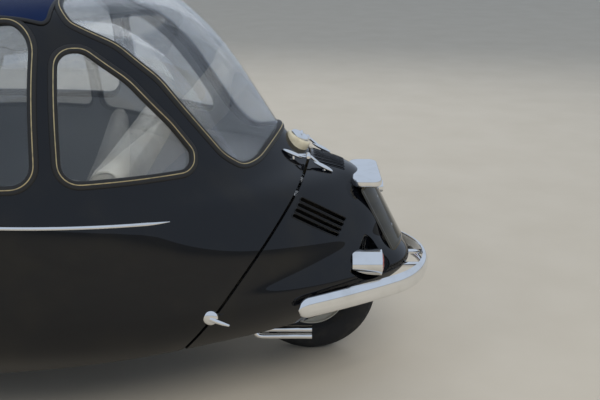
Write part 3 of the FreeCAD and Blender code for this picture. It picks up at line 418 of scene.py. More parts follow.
class Build:
    """Points and faces gathered from several simple forms."""

    def __init__(self):
        self.points = []
        self.faces = []
        self.picks = []

    def add(self, points, faces, pick=0):
        start = len(self.points)
        self.points += [list(point) for point in points]
        self.faces += [[start + index for index in face] for face in faces]
        self.picks += [pick] * len(faces)
        return self

    def mirrored(self):
        """The same forms again on the car's other side."""
        start = len(self.points)
        self.points += [[x, -y, z] for x, y, z in self.points]
        self.faces += [[start + index for index in face[::-1]] for face in self.faces]
        self.picks += self.picks
        return self

    def turned(self, profile, centre, axis, steps=64, pick=0, closed=False):
        """A profile of (radius, along) turned about an axis; outside is to its left."""
        axis = Vector(axis).normalized()
        across = axis.orthogonal().normalized()
        third = axis.cross(across)
        points, count = [], len(profile)
        for step in range(steps):
            angle = 2 * math.pi * step / steps
            ray = across * math.cos(angle) + third * math.sin(angle)
            for radius, along in profile:
                points.append(Vector(centre) + ray * radius + axis * along)
        faces = []
        for step in range(steps):
            here, there = step * count, (step + 1) % steps * count
            for index in range(count if closed else count - 1):
                follow = (index + 1) % count
                faces.append([here + index, there + index, there + follow, here + follow])
        return self.add(points, faces, pick)

    def swept(self, path, normals, profile, closed=False, pick=0, capped=True, widths=None):
        """A closed profile of (side, height) swept along a path that lies on a surface."""
        path = np.asarray(path, float)
        normals = np.asarray(normals, float)
        if closed:
            tangent = np.roll(path, -1, 0) - np.roll(path, 1, 0)
        else:
            tangent = np.gradient(path, axis=0)
        tangent /= np.linalg.norm(tangent, axis=1, keepdims=True)
        side = np.cross(tangent, normals)
        side /= np.linalg.norm(side, axis=1, keepdims=True)
        up = np.cross(side, tangent)
        scale = np.ones(len(path)) if widths is None else np.asarray(widths, float)
        points, count = [], len(profile)
        for i in range(len(path)):
            for across, height in profile:
                points.append(path[i] + side[i] * across * scale[i] + up[i] * height * scale[i])
        faces = []
        for i in range(len(path) - (0 if closed else 1)):
            here, there = i * count, (i + 1) % len(path) * count
            for index in range(count):
                follow = (index + 1) % count
                faces.append([here + index, here + follow, there + follow, there + index])
        if capped and not closed:
            faces.append(list(range(count))[::-1])
            faces.append([(len(path) - 1) * count + index for index in range(count)])
        return self.add(points, faces, pick)

    def tube(self, path, radius, steps=16, pick=0, closed=False, radii=None):
        """A round tube along a path, its open ends capped flat."""
        path = np.asarray(path, float)
        tangent = np.gradient(path, axis=0)
        if closed:
            tangent = np.roll(path, -1, 0) - np.roll(path, 1, 0)
        normal = Vector(tangent[0]).orthogonal()
        normals = []
        for direction in tangent:
            direction = Vector(direction).normalized()
            normal = (normal - direction * normal.dot(direction)).normalized()
            normals.append(normal)
        ring = [(math.cos(2 * math.pi * k / steps), math.sin(2 * math.pi * k / steps)) for k in range(steps)]
        ring = [(radius * c, radius * s) for c, s in ring]
        return self.swept(path, normals, ring, closed, pick, widths=radii)

    def lofted(self, rings, pick=0, capped=True):
        """Rings of equally many points, each joined to the next."""
        count = len(rings[0])
        faces = []
        for i in range(len(rings) - 1):
            here, there = i * count, (i + 1) * count
            for k in range(count):
                follow = (k + 1) % count
                faces.append([here + k, here + follow, there + follow, there + k])
        if capped:
            faces.append(list(range(count))[::-1])
            faces.append([(len(rings) - 1) * count + k for k in range(count)])
        return self.add([point for ring in rings for point in ring], faces, pick)

    def slab(self, centre, half, corner, edge, pick=0, steps=6):
        """A block of half sizes (x, y, z) with rounded upright corners and level edges."""
        spots = []
        for quarter, (side_x, side_y) in enumerate(((1, 1), (-1, 1), (-1, -1), (1, -1))):
            for k in range(steps + 1):
                angle = math.pi / 2 * (quarter + k / steps)
                spots.append(((half[0] - corner) * side_x, (half[1] - corner) * side_y, math.cos(angle),
                              math.sin(angle)))
        rings = []
        for side in (-1, 1):
            for k in range(5)[::-side]:
                angle = math.pi / 8 * k
                reach = corner - edge * (1 - math.sin(angle))
                height = side * (half[2] - edge * (1 - math.cos(angle)))
                rings.append([Vector(centre) + Vector((x + reach * c, y + reach * s, height))
                              for x, y, c, s in spots])
        return self.lofted(rings, pick)

    def ball(self, centre, radii, turn=Matrix.Identity(3), pick=0, steps=24):
        rings = []
        for row in range(1, steps // 2):
            tilt = math.pi * row / (steps // 2)
            rings.append([Vector(centre) + turn @ Vector((
                radii[0] * math.sin(tilt) * math.cos(2 * math.pi * k / steps),
                radii[1] * math.sin(tilt) * math.sin(2 * math.pi * k / steps),
                radii[2] * math.cos(tilt))) for k in range(steps)])
        return self.lofted(rings, pick)

    def pipe(self, path, radius, wall, steps=24):
        """A hollow tube whose last end is open."""
        outside, inside = Build().tube(path, radius, steps), Build().tube(path, radius - wall, steps)
        rows = [np.array(form.points).reshape(len(path), steps, 3) for form in (outside, inside)]
        return self.lofted(list(rows[0]) + list(rows[1][::-1]), capped=False)

    def make(self, name, body, slot, replaces=(), extra=(), smooth_angle=40, bevel=0):
        thing = piece(name, self.points, self.faces, body, slot, replaces, extra=extra, picks=self.picks)
        if bevel:
            rounding = thing.modifiers.new("rounding", "BEVEL")
            rounding.width = bevel * MM
            rounding.segments = 3
            rounding.limit_method = "ANGLE"
            rounding.angle_limit = math.radians(35)
        applied(thing)
        thing.data.set_sharp_from_angle(angle=math.radians(smooth_angle))
        return thing


def turned_by(angle, axis):
    return Matrix.Rotation(math.radians(angle), 3, axis)


def arc_through(first, middle, last, steps):
    """Level points on the arc through three (x, y) points, and their outward directions."""
    (ax, ay), (bx, by), (cx, cy) = first, middle, last
    scale = 2 * (ax * (by - cy) + bx * (cy - ay) + cx * (ay - by))
    a, b, c = ax * ax + ay * ay, bx * bx + by * by, cx * cx + cy * cy
    centre = np.array([a * (by - cy) + b * (cy - ay) + c * (ay - by),
                       a * (cx - bx) + b * (ax - cx) + c * (bx - ax)]) / scale
    start, mid, end = (math.atan2(y - centre[1], x - centre[0]) for x, y in (first, middle, last))
    turn = (end - start) % (2 * math.pi)
    if (mid - start) % (2 * math.pi) > turn:
        turn -= 2 * math.pi
    angles = start + np.linspace(0, turn, steps + 1)
    out = np.stack([np.cos(angles), np.sin(angles)], 1)
    return centre + out * math.hypot(ax - centre[0], ay - centre[1]), out


def applied(thing):
    """Applies the piece's modifiers and turns its faces outwards."""
    if thing.modifiers:
        shape = bpy.data.meshes.new_from_object(thing.evaluated_get(bpy.context.evaluated_depsgraph_get()))
        thing.modifiers.clear()
        old, thing.data = thing.data, shape
        bpy.data.meshes.remove(old)
    tidy = bmesh.new()
    tidy.from_mesh(thing.data)
    bmesh.ops.recalc_face_normals(tidy, faces=tidy.faces)
    tidy.to_mesh(thing.data)
    tidy.free()
    return thing


def rounded(corners, pitch=3.0):
    """Points along a closed outline whose corners are (x, z, radius), pitch apart on its arcs."""
    count = len(corners)
    points = []
    for i, (x, z, radius) in enumerate(corners):
        here = np.array([x, z], float)
        before = np.array(corners[i - 1][:2], float) - here
        after = np.array(corners[(i + 1) % count][:2], float) - here
        before /= np.linalg.norm(before)
        after /= np.linalg.norm(after)
        if radius == 0:
            points.append(here)
            continue
        half = math.acos(np.clip(before @ after, -1, 1)) / 2
        bisector = (before + after) / np.linalg.norm(before + after)
        centre = here + bisector * radius / math.sin(half)
        first = here + before * radius / math.tan(half) - centre
        last = here + after * radius / math.tan(half) - centre
        start = math.atan2(first[1], first[0])
        sweep = (math.atan2(last[1], last[0]) - start + math.pi) % (2 * math.pi) - math.pi
        steps = max(2, int(abs(sweep) * radius / pitch))
        for step in range(steps + 1):
            angle = start + sweep * step / steps
            points.append(centre + radius * np.array([math.cos(angle), math.sin(angle)]))
    return np.array(points)


def run_along(points):
    """How far along a line each of its points lies."""
    return np.concatenate([[0], np.cumsum(np.linalg.norm(np.diff(points, axis=0), axis=1))])


def eased(line, times, closed=True):
    """A line whose points are drawn towards their neighbours, the ends of an open one kept."""
    line = np.array(line, float)
    for _ in range(times):
        if closed:
            line = (np.roll(line, 1, 0) + 2 * line + np.roll(line, -1, 0)) / 4
        else:
            line[1:-1] = (line[:-2] + 2 * line[1:-1] + line[2:]) / 4
    return line


def evenly(points, pitch, closed=True):
    """The same line with points pitch apart."""
    points = np.asarray(points, float)
    if closed:
        points = np.vstack([points, points[:1]])
    run = run_along(points)
    count = max(2, int(round(run[-1] / pitch)))
    at = np.linspace(0, run[-1], count + 1)[:-1 if closed else None]
    return np.stack([np.interp(at, run, points[:, k]) for k in range(points.shape[1])], 1)


def depth_inside(points, outline):
    """How far (x, z) points lie inside a closed outline; negative outside it."""
    result = np.empty(len(points))
    start, end = outline, np.roll(outline, -1, 0)
    edge = end - start
    length = np.maximum((edge ** 2).sum(1), 1e-12)
    for low in range(0, len(points), 4000):
        part = points[low:low + 4000, None, :]
        share = np.clip(((part - start) * edge).sum(2) / length, 0, 1)
        away = np.sqrt((((part - start) - share[..., None] * edge) ** 2).sum(2)).min(1)
        above = (start[:, 1] > part[..., 1]) != (end[:, 1] > part[..., 1])
        rise = np.where(np.abs(edge[:, 1]) < 1e-12, 1e-12, edge[:, 1])
        crossing = part[..., 0] < start[:, 0] + (part[..., 1] - start[:, 1]) * edge[:, 0] / rise
        inside = (above & crossing).sum(1) % 2 == 1
        result[low:low + 4000] = np.where(inside, away, -away)
    return result


WALL = 30
SKIN, WALL_SKIN = Skin(0), Skin(WALL)
COLUMNS, ROWS = OUTLINE_STEPS, len(LEVELS) - 1
CROWN, CROWN_RUN = ROWS + 1, 120
SEARCH_GRID, SEARCH_STEPS, MOST_STEP = (120, 90), 8, 0.5


def body_at(skin, s, t):
    """Points and normals of a skin; between ROWS and CROWN the flat top closes."""
    points, normals = skin.at(s, np.minimum(t, ROWS))
    beyond = t > ROWS
    points[beyond, 1] *= CROWN - t[beyond]
    normals[beyond] = [0, 0, 1]
    return points, normals


def grid_of(columns, rows, s_range, t_range):
    """Even places over the left half of the body."""
    upward = np.append(SKIN.upward, SKIN.upward[-1] + CROWN_RUN)

    def spaced(knots, span, count):
        index = range(len(knots))
        return np.interp(np.linspace(*np.interp(span, index, knots), count + 1), knots, index)

    s, t = np.meshgrid(spaced(SKIN.along, s_range, columns), spaced(upward, t_range, rows), indexing="ij")
    return s.ravel(), t.ravel()


def clipped(values, columns, rows):
    """Faces of the grid where values > 0; their points lie between two grid points."""
    places, index_of, faces = [], {}, []
    width = rows + 1

    def place(inside, outside, share):
        key = (inside, outside)
        if key not in index_of:
            index_of[key] = len(places)
            places.append((inside, outside, share))
        return index_of[key]

    def crossing(inside, outside):
        return place(inside, outside, min(values[inside] / (values[inside] - values[outside]), 0.999))

    for i in range(columns):
        for j in range(rows):
            ring = (i * width + j, (i + 1) * width + j, (i + 1) * width + j + 1, i * width + j + 1)
            signs = [values[node] > 0 for node in ring]
            if all(signs):
                faces.append([place(node, node, 0.0) for node in ring])
            elif any(signs):
                face = []
                for k in range(4):
                    here, following = ring[k], ring[(k + 1) % 4]
                    if signs[k]:
                        face.append(place(here, here, 0.0))
                        if not signs[(k + 1) % 4]:
                            face.append(crossing(here, following))
                    elif signs[(k + 1) % 4]:
                        face.append(crossing(following, here))
                faces.append(face)
    ends = np.array([place[:2] for place in places])
    return ends, np.array([[place[2]] for place in places]), faces


class Sheet:
    """The part of the body's surface where keep(points) > 0, on both sides of the car.

    It lies sink millimetres under the surface and its back depth millimetres deeper."""

    def __init__(self, keep, columns, rows, s_range=(0, COLUMNS), t_range=(0, CROWN), sink=0.0, depth=WALL):
        s, t = grid_of(columns, rows, s_range, t_range)
        surface, normal = body_at(SKIN, s, t)
        wall, _ = body_at(WALL_SKIN, s, t)
        ends, share, faces = clipped(keep(surface), columns, rows)

        def between(grid):
            return grid[ends[:, 0]] * (1 - share) + grid[ends[:, 1]] * share

        inward = (wall - surface) / WALL
        if callable(depth):
            depth = depth(surface)[:, None]
        points, back = between(surface + inward * sink), between(surface + inward * (sink + depth))
        normals = between(normal)
        seam = np.abs(points[:, 1]) < 1e-6
        normals[seam, 1] = 0
        count = len(points)
        other = np.where(seam, np.arange(count), count + np.cumsum(~seam) - 1)
        flip = np.array([1, -1, 1.0])
        self.points = np.vstack([points, points[~seam] * flip])
        self.back = np.vstack([back, back[~seam] * flip])
        self.normals = np.vstack([normals, normals[~seam] * flip])
        self.normals /= np.linalg.norm(self.normals, axis=1, keepdims=True)
        self.faces = []
        for face in faces:
            for index in (face, [int(other[k]) for k in reversed(face)]):
                index = [k for i, k in enumerate(index) if k != index[i - 1]]
                if len(index) > 2:
                    self.faces.append(index)
        self.edges = {}
        for face in self.faces:
            for a, b in zip(face, face[1:] + face[:1]):
                if (b, a) in self.edges:
                    del self.edges[(b, a)]
                else:
                    self.edges[(a, b)] = True

    def loops(self, pitch=6.0):
        """Each open edge as (points, normals), evenly spaced, the sheet on its left."""
        following = dict(self.edges.keys())
        found = []
        while following:
            start, _ = next(iter(following.items()))
            ring = [start]
            while ring[-1] in following:
                ring.append(following.pop(ring[-1]))
            if len(ring) < 12 or ring[0] != ring[-1]:
                continue
            ring = ring[:-1]
            line = eased(evenly(np.hstack([self.points[ring], self.normals[ring]]), pitch), 2)
            found.append((line[:, :3], line[:, 3:] / np.linalg.norm(line[:, 3:], axis=1, keepdims=True)))
        return found

    def panel(self, lip=2.0):
        """Points, faces, normals and face kinds, 0 outside and 1 inside, with rounded edges."""
        rim = sorted({k for edge in self.edges for k in edge})
        outward = np.zeros_like(self.points)
        for a, b in self.edges:
            run = self.points[b] - self.points[a]
            length = np.linalg.norm(run)
            if length > 1e-9:
                for k in (a, b):
                    outward[k] += np.cross(run / length, self.normals[k])
        outward = outward[rim] / np.maximum(np.linalg.norm(outward[rim], axis=1, keepdims=True), 1e-9)
        sunk = self.back[rim] - self.points[rim]
        depth = np.linalg.norm(sunk, axis=1, keepdims=True)
        sunk = sunk / np.maximum(depth, 1e-9)
        points, normals, skirt = [self.points], [self.normals], []
        total, before = len(self.points), {k: k for k in rim}
        for reach, drop, turn in ((0.3, 0.045, 0.4), (0.7, 0.3, 0.8), (1, 1, 1), (1, None, 1)):
            now = {k: total + i for i, k in enumerate(rim)}
            total += len(rim)
            down = depth if drop is None else lip * drop
            points.append(self.points[rim] + outward * lip * reach + sunk * down)
            lean = self.normals[rim] * (1 - turn) + outward * turn
            normals.append(lean / np.linalg.norm(lean, axis=1, keepdims=True))
            skirt += [[before[a], now[a], now[b], before[b]] for a, b in self.edges]
            before = now
        points.append(self.back)
        normals.append(-self.normals)
        behind = [[total + k for k in reversed(face)] for face in self.faces]
        kinds = [0] * (len(self.faces) + len(skirt)) + [1] * len(behind)
        return np.vstack(points), self.faces + skirt + behind, np.vstack(normals), kinds


def on_side(flat, axes=(0, 2), s_range=(0, COLUMNS), t_range=(0, ROWS)):
    """Points and normals of the body's left side whose two coordinates along axes are flat.

    The nearest place of a coarse grid is moved by Newton's steps until it fits."""
    flat, axes = np.asarray(flat, float), list(axes)
    s, t = grid_of(*SEARCH_GRID, s_range, t_range)
    view = SKIN.at(s, t)[0][:, axes]
    near = np.array([np.argmin(((view - spot) ** 2).sum(1)) for spot in flat])
    s, t, tiny = s[near], t[near], 1e-3

    def crossed(a, b):
        return a[:, 0] * b[:, 1] - a[:, 1] * b[:, 0]

    for _ in range(SEARCH_STEPS):
        here = SKIN.at(s, t)[0][:, axes]
        by_s = (SKIN.at(s + tiny, t)[0][:, axes] - here) / tiny
        by_t = (SKIN.at(s, t + tiny)[0][:, axes] - here) / tiny
        miss, scale = flat - here, crossed(by_s, by_t)
        scale = np.where(np.abs(scale) < 1e-9, 1e-9, scale)
        s = np.clip(s + np.clip(crossed(miss, by_t) / scale, -MOST_STEP, MOST_STEP), *s_range)
        t = np.clip(t + np.clip(crossed(by_s, miss) / scale, -MOST_STEP, MOST_STEP), *t_range)
    return SKIN.at(s, t)


# Outlines seen from the side, as corners of (x, z, radius).
SIDE_WINDOW = [(-95, 812, 70), (-94, 1268, 95), (400, 1236, 60), (708, 828, 60)]
QUARTER_WINDOW = [(-139, 814, 74), (-131, 1188, 44), (-212, 1186, 70), (-330, 1093, 300), (-440, 960, 400),
                  (-503, 866, 60), (-507, 800, 34)]
BUBBLE_EDGE = [(-64, 1345, 0), (-166, 1239, 80), (-290, 1176, 200), (-400, 1075, 300), (-577, 827, 200),
               (-640, 779, 60), (-690, 787, 60), (-790, 868, 0), (-900, 1345, 0)]
WINDSCREEN = [(378, 1345, 0), (527, 1207, 250), (688, 1012, 400), (800, 872, 55), (1300, 872, 0), (1300, 1345, 0)]
DOOR_EDGE = [(330, 1345, 0), (480, 1205, 300), (640, 1010, 500), (775, 850, 250), (960, 715, 250),
             (1060, 610, 200), (1108, 500, 200), (1122, 330, 0), (1400, 330, 0), (1400, 1345, 0)]
SUNROOF_REAR, SUNROOF_FRONT, SUNROOF_HALF, ROOF_LOW = -104, 312, 420, 1150
SILL_LINE = [(-1300, 120, 0), (1300, 120, 0), (1300, 215, 0), (100, 222, 0), (-540, 262, 0), (-880, 262, 0),
             (-1180, 372, 0), (-1300, 380, 0)]
AXLE_Z, FRONT_X, REAR_X, TRACK_HALF = 235, 905, -855, 610
ARCH_R, ARCH_Y, HALF_GAP, LIP = 292, 425, 3, 2
APRON_TOP, APRON_X = 324, 1000
COVER_X, COVER_Z, COVER_SLOPE, COVER_CROWN = -845, 750, 0.79, 690
SIDE, QUARTER, BUBBLE, SCREEN, DOOR, SILL = (
    rounded(corners) for corners in (SIDE_WINDOW, QUARTER_WINDOW, BUBBLE_EDGE, WINDSCREEN, DOOR_EDGE, SILL_LINE))


def side_view(points):
    return points[:, [0, 2]]


def least(*distances):
    return np.minimum.reduce(distances)


def ahead_of_cover(points):
    """How far points lie in front of the tail cover's slanting shut plane."""
    return (points[:, 0] - COVER_X - COVER_SLOPE * (COVER_Z - points[:, 2])) / math.hypot(1, COVER_SLOPE)


def off_arch(points):
    away = np.hypot(points[:, 0] - FRONT_X, points[:, 2] - AXLE_Z) - ARCH_R
    return np.maximum(away, ARCH_Y - np.abs(points[:, 1]))


def off_sunroof(points):
    x, y, z = points.T
    return np.maximum.reduce([x - SUNROOF_FRONT, SUNROOF_REAR - x, np.abs(y) - SUNROOF_HALF, ROOF_LOW - z])


def keep_body(points):
    flat = side_view(points)
    y = np.abs(points[:, 1])
    off_apron = np.maximum.reduce([points[:, 2] - APRON_TOP, y - ARCH_Y, APRON_X - points[:, 0]])
    return least(*(-depth_inside(flat, hole) for hole in (SIDE, QUARTER, BUBBLE, SILL)),
                 -depth_inside(flat, DOOR) - HALF_GAP, ahead_of_cover(points) - HALF_GAP,
                 off_arch(points), off_sunroof(points), off_apron) - LIP


def keep_apron(points):
    return least(APRON_TOP - points[:, 2], ARCH_Y - np.abs(points[:, 1]), points[:, 0] - APRON_X,
                 -depth_inside(side_view(points), SILL)) - LIP


def keep_door(points):
    flat = side_view(points)
    return least(depth_inside(flat, DOOR) - HALF_GAP, -depth_inside(flat, SCREEN), off_arch(points)) - LIP


# The tail cover's lamp niches are arches with a sloping floor; its louvres are slots.
LAMP = np.array([-1085.0, 230.0, 433.0])
NICHE_R, NICHE_RISE, SLOT_HALF, FAR = 60, 40, 4.6, 100
SIDE_SLOTS = [((-820 + 8 * i, 676 - 12.5 * i), (-961 + 8 * i, 583 - 12.5 * i)) for i in range(4)]
CROWN_SLOTS = [((-868, y), (-962, 0.84 * y)) for y in (-78, -52, -26, 0, 26, 52, 78)]


def niche_floor(y, z):
    return -1003 - 0.14 * (z - LAMP[2]) + 0.4 * (np.abs(y) - LAMP[1])


def off_niche(points):
    """How far points lie outside the lamp niche, seen from behind, or ahead of its floor."""
    low = np.clip(points[:, 2], LAMP[2], LAMP[2] + NICHE_RISE)
    away = np.hypot(np.abs(points[:, 1]) - LAMP[1], points[:, 2] - low) - NICHE_R
    return np.maximum(away, points[:, 0] - niche_floor(points[:, 1], points[:, 2]))


def off_slot(flat, first, last):
    first, run = np.array(first, float), np.subtract(last, first)
    share = np.clip((flat - first) @ run / (run @ run), 0, 1)
    return np.linalg.norm(flat - first - share[:, None] * run, axis=1) - SLOT_HALF


def keep_cover(points):
    flat = side_view(points)
    high = points[:, 2] > COVER_CROWN
    return least(-ahead_of_cover(points) - HALF_GAP - LIP, -depth_inside(flat, SILL) - LIP, off_niche(points),
                 *(np.where(high, FAR, off_slot(flat, *ends)) for ends in SIDE_SLOTS),
                 *(np.where(high, off_slot(points[:, :2], *ends), FAR) for ends in CROWN_SLOTS))


def cover_depth(points):
    """Thin beside the lamp niches and the louvres, the whole wall elsewhere."""
    flat = side_view(points)
    near = least(off_niche(points) - 8, *(off_slot(flat, *ends) for ends in SIDE_SLOTS),
                 *(off_slot(points[:, :2], *ends) for ends in CROWN_SLOTS))
    return np.clip(near * 0.9, 2.5, WALL)


def body_panel(name, keep, columns, rows, body, replaces, inside_finish, lip=LIP, **where):
    points, faces, normals, kinds = Sheet(keep, columns, rows, **where).panel(lip)
    piece(name, points, faces, body, "body_paint", replaces, normals, (inside_finish,), kinds)


body_panel("painted_body", keep_body, 260, 122, "chassis",
           ("side_panel_left", "side_panel_right", "roof_panel"), LINING)
body_panel("painted_apron", keep_apron, 60, 16, "chassis", ("front_apron",), FINISH["dark_metal"],
           s_range=(0, 9), t_range=(0, 1.5))
body_panel("painted_door", keep_door, 150, 120, "door", ("door_shell",), LINING,
           s_range=(0, 14), t_range=(0.5, ROWS))
body_panel("painted_cover", keep_cover, 205, 168, "tail_cover", ("cover_shell",), FINISH["dark_metal"],
           s_range=(15, COLUMNS), t_range=(0, 8.5), depth=cover_depth, lip=0.8)

# Glass a little under the surface, in black rubber with a pale gold bead.
TUCK, GLASS_SINK, GLASS_THICK, COARSER = 9, 7, 5, 0.58
GASKET = [(6.5, 0.2), (5.5, 2.6), (2, 4.4), (-3, 5.0), (-6.5, 4.6), (-8.3, 3.2), (-10, 4.4), (-14, 3.8),
          (-18, 1.2), (-19.5, -3), (-19.5, -7), (-12, -9.5), (-2, -9.5), (0, -1.5)]
BEAD = [(-8.4 + 1.75 * math.cos(a * math.pi / 4), 3.9 + 1.75 * math.sin(a * math.pi / 4)) for a in range(8)]


def glazing(name, outline, body, replaces, columns, rows, **where):
    """A pane inside an outline, and the forms of the rubber and the bead along it."""
    def keep(points, tuck=TUCK):
        return depth_inside(side_view(points), outline) - tuck

    # The pane's edge lies under the rubber, so its grid is coarser than the edge line's.
    pane = Sheet(keep, int(COARSER * columns), int(COARSER * rows), sink=GLASS_SINK, depth=GLASS_THICK, **where)
    points, faces, normals, _ = pane.panel(0.6)
    piece(name + "_glass", points, faces, body, "clear_glass", replaces, normals)
    rubber_form, bead_form = Build(), Build()
    for path, up in Sheet(lambda points: keep(points, 0), columns, rows, **where).loops():
        rubber_form.swept(path, up, GASKET, closed=True)
        bead_form.swept(path, up, BEAD, closed=True)
    return rubber_form, bead_form


def gaskets(name, forms, body, replaces):
    black, pale = Build(), Build()
    for rubber_form, bead_form in forms:
        black.add(rubber_form.points, rubber_form.faces)
        pale.add(bead_form.points, bead_form.faces)
    black.make(name, body, "seal_rubber", replaces, smooth_angle=50)
    line = pale.make(name + "_bead", body, "seal_rubber")
    line.data.materials[0] = GOLD


forms = [glazing("side_window", SIDE, "chassis", ("side_windows",), 300, 130, s_range=(0, 20), t_range=(6, 13)),
         glazing("quarter_window", QUARTER, "chassis", (), 300, 130, s_range=(8, COLUMNS), t_range=(6, 13)),
         glazing("dome", BUBBLE, "chassis", ("rear_bubble",), 260, 130, s_range=(9, COLUMNS), t_range=(6, CROWN))]
gaskets("window_gaskets", forms, "chassis", ("window_seals",))
gaskets("screen_gasket", [glazing("screen", SCREEN, "door", ("windscreen",), 200, 110, s_range=(0, 14),
                                  t_range=(7, ROWS))], "door", ("windscreen_seal",))

# Cloth roof: one sheet stretched over the opening and its frame, its edge bound in black.
CLOTH_REAR, CLOTH_FRONT, CLOTH_HALF, CLOTH_CORNER = -116, 330, 462, 22
CLOTH_RISE, CLOTH_THICK = 4.5, 2.2


def keep_cloth(points):
    x, y, z = points.T
    over_x = np.maximum(np.maximum(CLOTH_REAR + CLOTH_CORNER - x, x - CLOTH_FRONT + CLOTH_CORNER), 0)
    over_y = np.maximum(np.abs(y) - CLOTH_HALF + CLOTH_CORNER, 0)
    return least(CLOTH_CORNER - np.hypot(over_x, over_y), z - ROOF_LOW)


cloth_sheet = Sheet(keep_cloth, 122, 72, s_range=(0, 22), t_range=(9, CROWN), sink=-CLOTH_RISE, depth=CLOTH_THICK)
cloth_points, cloth_faces, cloth_normals, cloth_kinds = cloth_sheet.panel(1.0)
cloth = piece("cloth_roof", cloth_points, cloth_faces, "chassis", "roof_cloth", ("sunroof_fabric",),
              cloth_normals, (LINING,), cloth_kinds)
BINDING = [(-7, -3.2), (-7, 0.6), (-5, 1.6), (0, 1.8), (3, 0.8), (4, -1.4), (4, -4.4), (0, -4.4)]
binding = Build()
for path, up in cloth_sheet.loops():
    binding.swept(path, up, BINDING, closed=True)
edge = binding.make("cloth_binding", "chassis", "seal_rubber", smooth_angle=60)
TAIL = (15, COLUMNS), (0, 8.5)


def stadium(reach, steps=72):
    """Points (y, z) around the left lamp niche, reach from its centre line."""
    angles = 2 * math.pi * np.arange(steps) / steps
    rise = np.where(np.sin(angles) > 0, NICHE_RISE, 0)
    return np.stack([LAMP[1] + reach * np.cos(angles), LAMP[2] + rise + reach * np.sin(angles)], 1)


# Lamp niches: a wall, a rounded foot and the sloping floor, under the cover's edge.
niches = Build()
wall_rings = []
for reach, off_floor in ((61, 200), (61, 14), (60, 8), (57.5, 4), (53.5, 1), (49, 0), (34, 0), (20, 0), (8, 0),
                         (0.4, 0)):
    ring = stadium(reach)
    surface, _ = on_side(ring, (1, 2), *TAIL)
    x = np.maximum(niche_floor(*ring.T) - off_floor, surface[:, 0] + 2.2)
    wall_rings.append(np.column_stack([x, ring]))
back_rings = [ring + [2.5, 0, 0] for ring in wall_rings]
niches.lofted(wall_rings + back_rings[::-1] + wall_rings[:1], capped=False).mirrored()
niches.make("lamp_niches", "tail_cover", "body_paint")

# Louvres: a small rolled lip runs around each slot.
LIP_BEAD = [(-1.9, -1.5), (-1.8, 0.9), (-0.8, 1.9), (0.8, 1.9), (1.8, 0.9), (1.9, -1.5)]


def slot_ring(first, last, reach=SLOT_HALF + 1.3, steps=8):
    """Points around a slot, reach from its middle line."""
    first, last = np.array(first, float), np.array(last, float)
    run = (last - first) / np.linalg.norm(last - first)
    side = np.array([-run[1], run[0]])
    ring = []
    for centre, ahead in ((last, reach), (first, -reach)):
        for k in range(steps + 1):
            angle = math.pi * (k / steps - 0.5)
            ring.append(centre + ahead * (run * math.cos(angle) + side * math.sin(angle)))
    return evenly(ring, 2.5)


lips = Build()
for ends in SIDE_SLOTS:
    lips.swept(*on_side(slot_ring(*ends), (0, 2), *TAIL), LIP_BEAD, closed=True)
lips.mirrored()
for ends in CROWN_SLOTS:
    ring = slot_ring(*ends)
    flip = np.where(ring[:, 1:2] < 0, [1, -1, 1], [1, 1, 1])
    points, normals = on_side(np.abs(ring) * [-1, 1], (0, 1), *TAIL)
    lips.swept(points * flip, normals * flip, LIP_BEAD, closed=True)
lips.make("louvre_lips", "tail_cover", "body_paint")

# Bright side strips: a slim half-round, pointed behind.
STRIP = [(-5.5, -1.5), (-5.2, 1), (-4, 2.6), (-2.1, 3.7), (0, 4), (2.1, 3.7), (4, 2.6), (5.2, 1), (5.5, -1.5)]
along = np.linspace(-440, 898, 180)
strip_path = np.stack([along, np.interp(along, [-440, -400, 0, 900], [694, 695, 719.5, 752.5])], 1)
slim = np.clip(np.minimum((along + 440) / 60, (902 - along) / 12), 0.06, 1) ** 0.6
strips = Build()
strips.swept(*on_side(strip_path), STRIP, widths=slim)
strips.mirrored().make("bright_side_strips", "chassis", "bright_chrome", ("side_strips",))

# Bumpers: pressed blades with a domed face and rounded ends.
BLADE_HALF, BLADE_END, DEPTH, SHEET_T, SQUARENESS = 35, 42, 20, 3, 2.4
STAY_R = 9


def blade(path, out, level):
    """A pressed blade along a level path, bulging along out, with rounded ends."""
    run = run_along(path)
    shares = np.sin(np.linspace(-math.pi / 2, math.pi / 2, 19))
    fall = 1 - (1 - np.abs(shares) ** SQUARENESS) ** (1 / SQUARENESS)
    face = [(share * BLADE_HALF, -DEPTH * drop) for share, drop in zip(shares, fall)]
    inside = [(share * (BLADE_HALF - SHEET_T), -SHEET_T - (DEPTH - SHEET_T) * drop)
              for share, drop in zip(shares, fall)]
    rings = []
    for (x, y), (out_x, out_y), here in zip(path, out, run):
        near = min(min(here, run[-1] - here) / BLADE_END, 1)
        scale = 0.05 + 0.95 * math.sqrt(1 - (1 - near) ** 2)
        ring = []
        for height, off in face + inside[::-1]:
            off = -DEPTH / 2 + scale * (off + DEPTH / 2)
            ring.append((x + out_x * off, y + out_y * off, level + scale * height))
        rings.append(ring)
    return Build().lofted(rings)


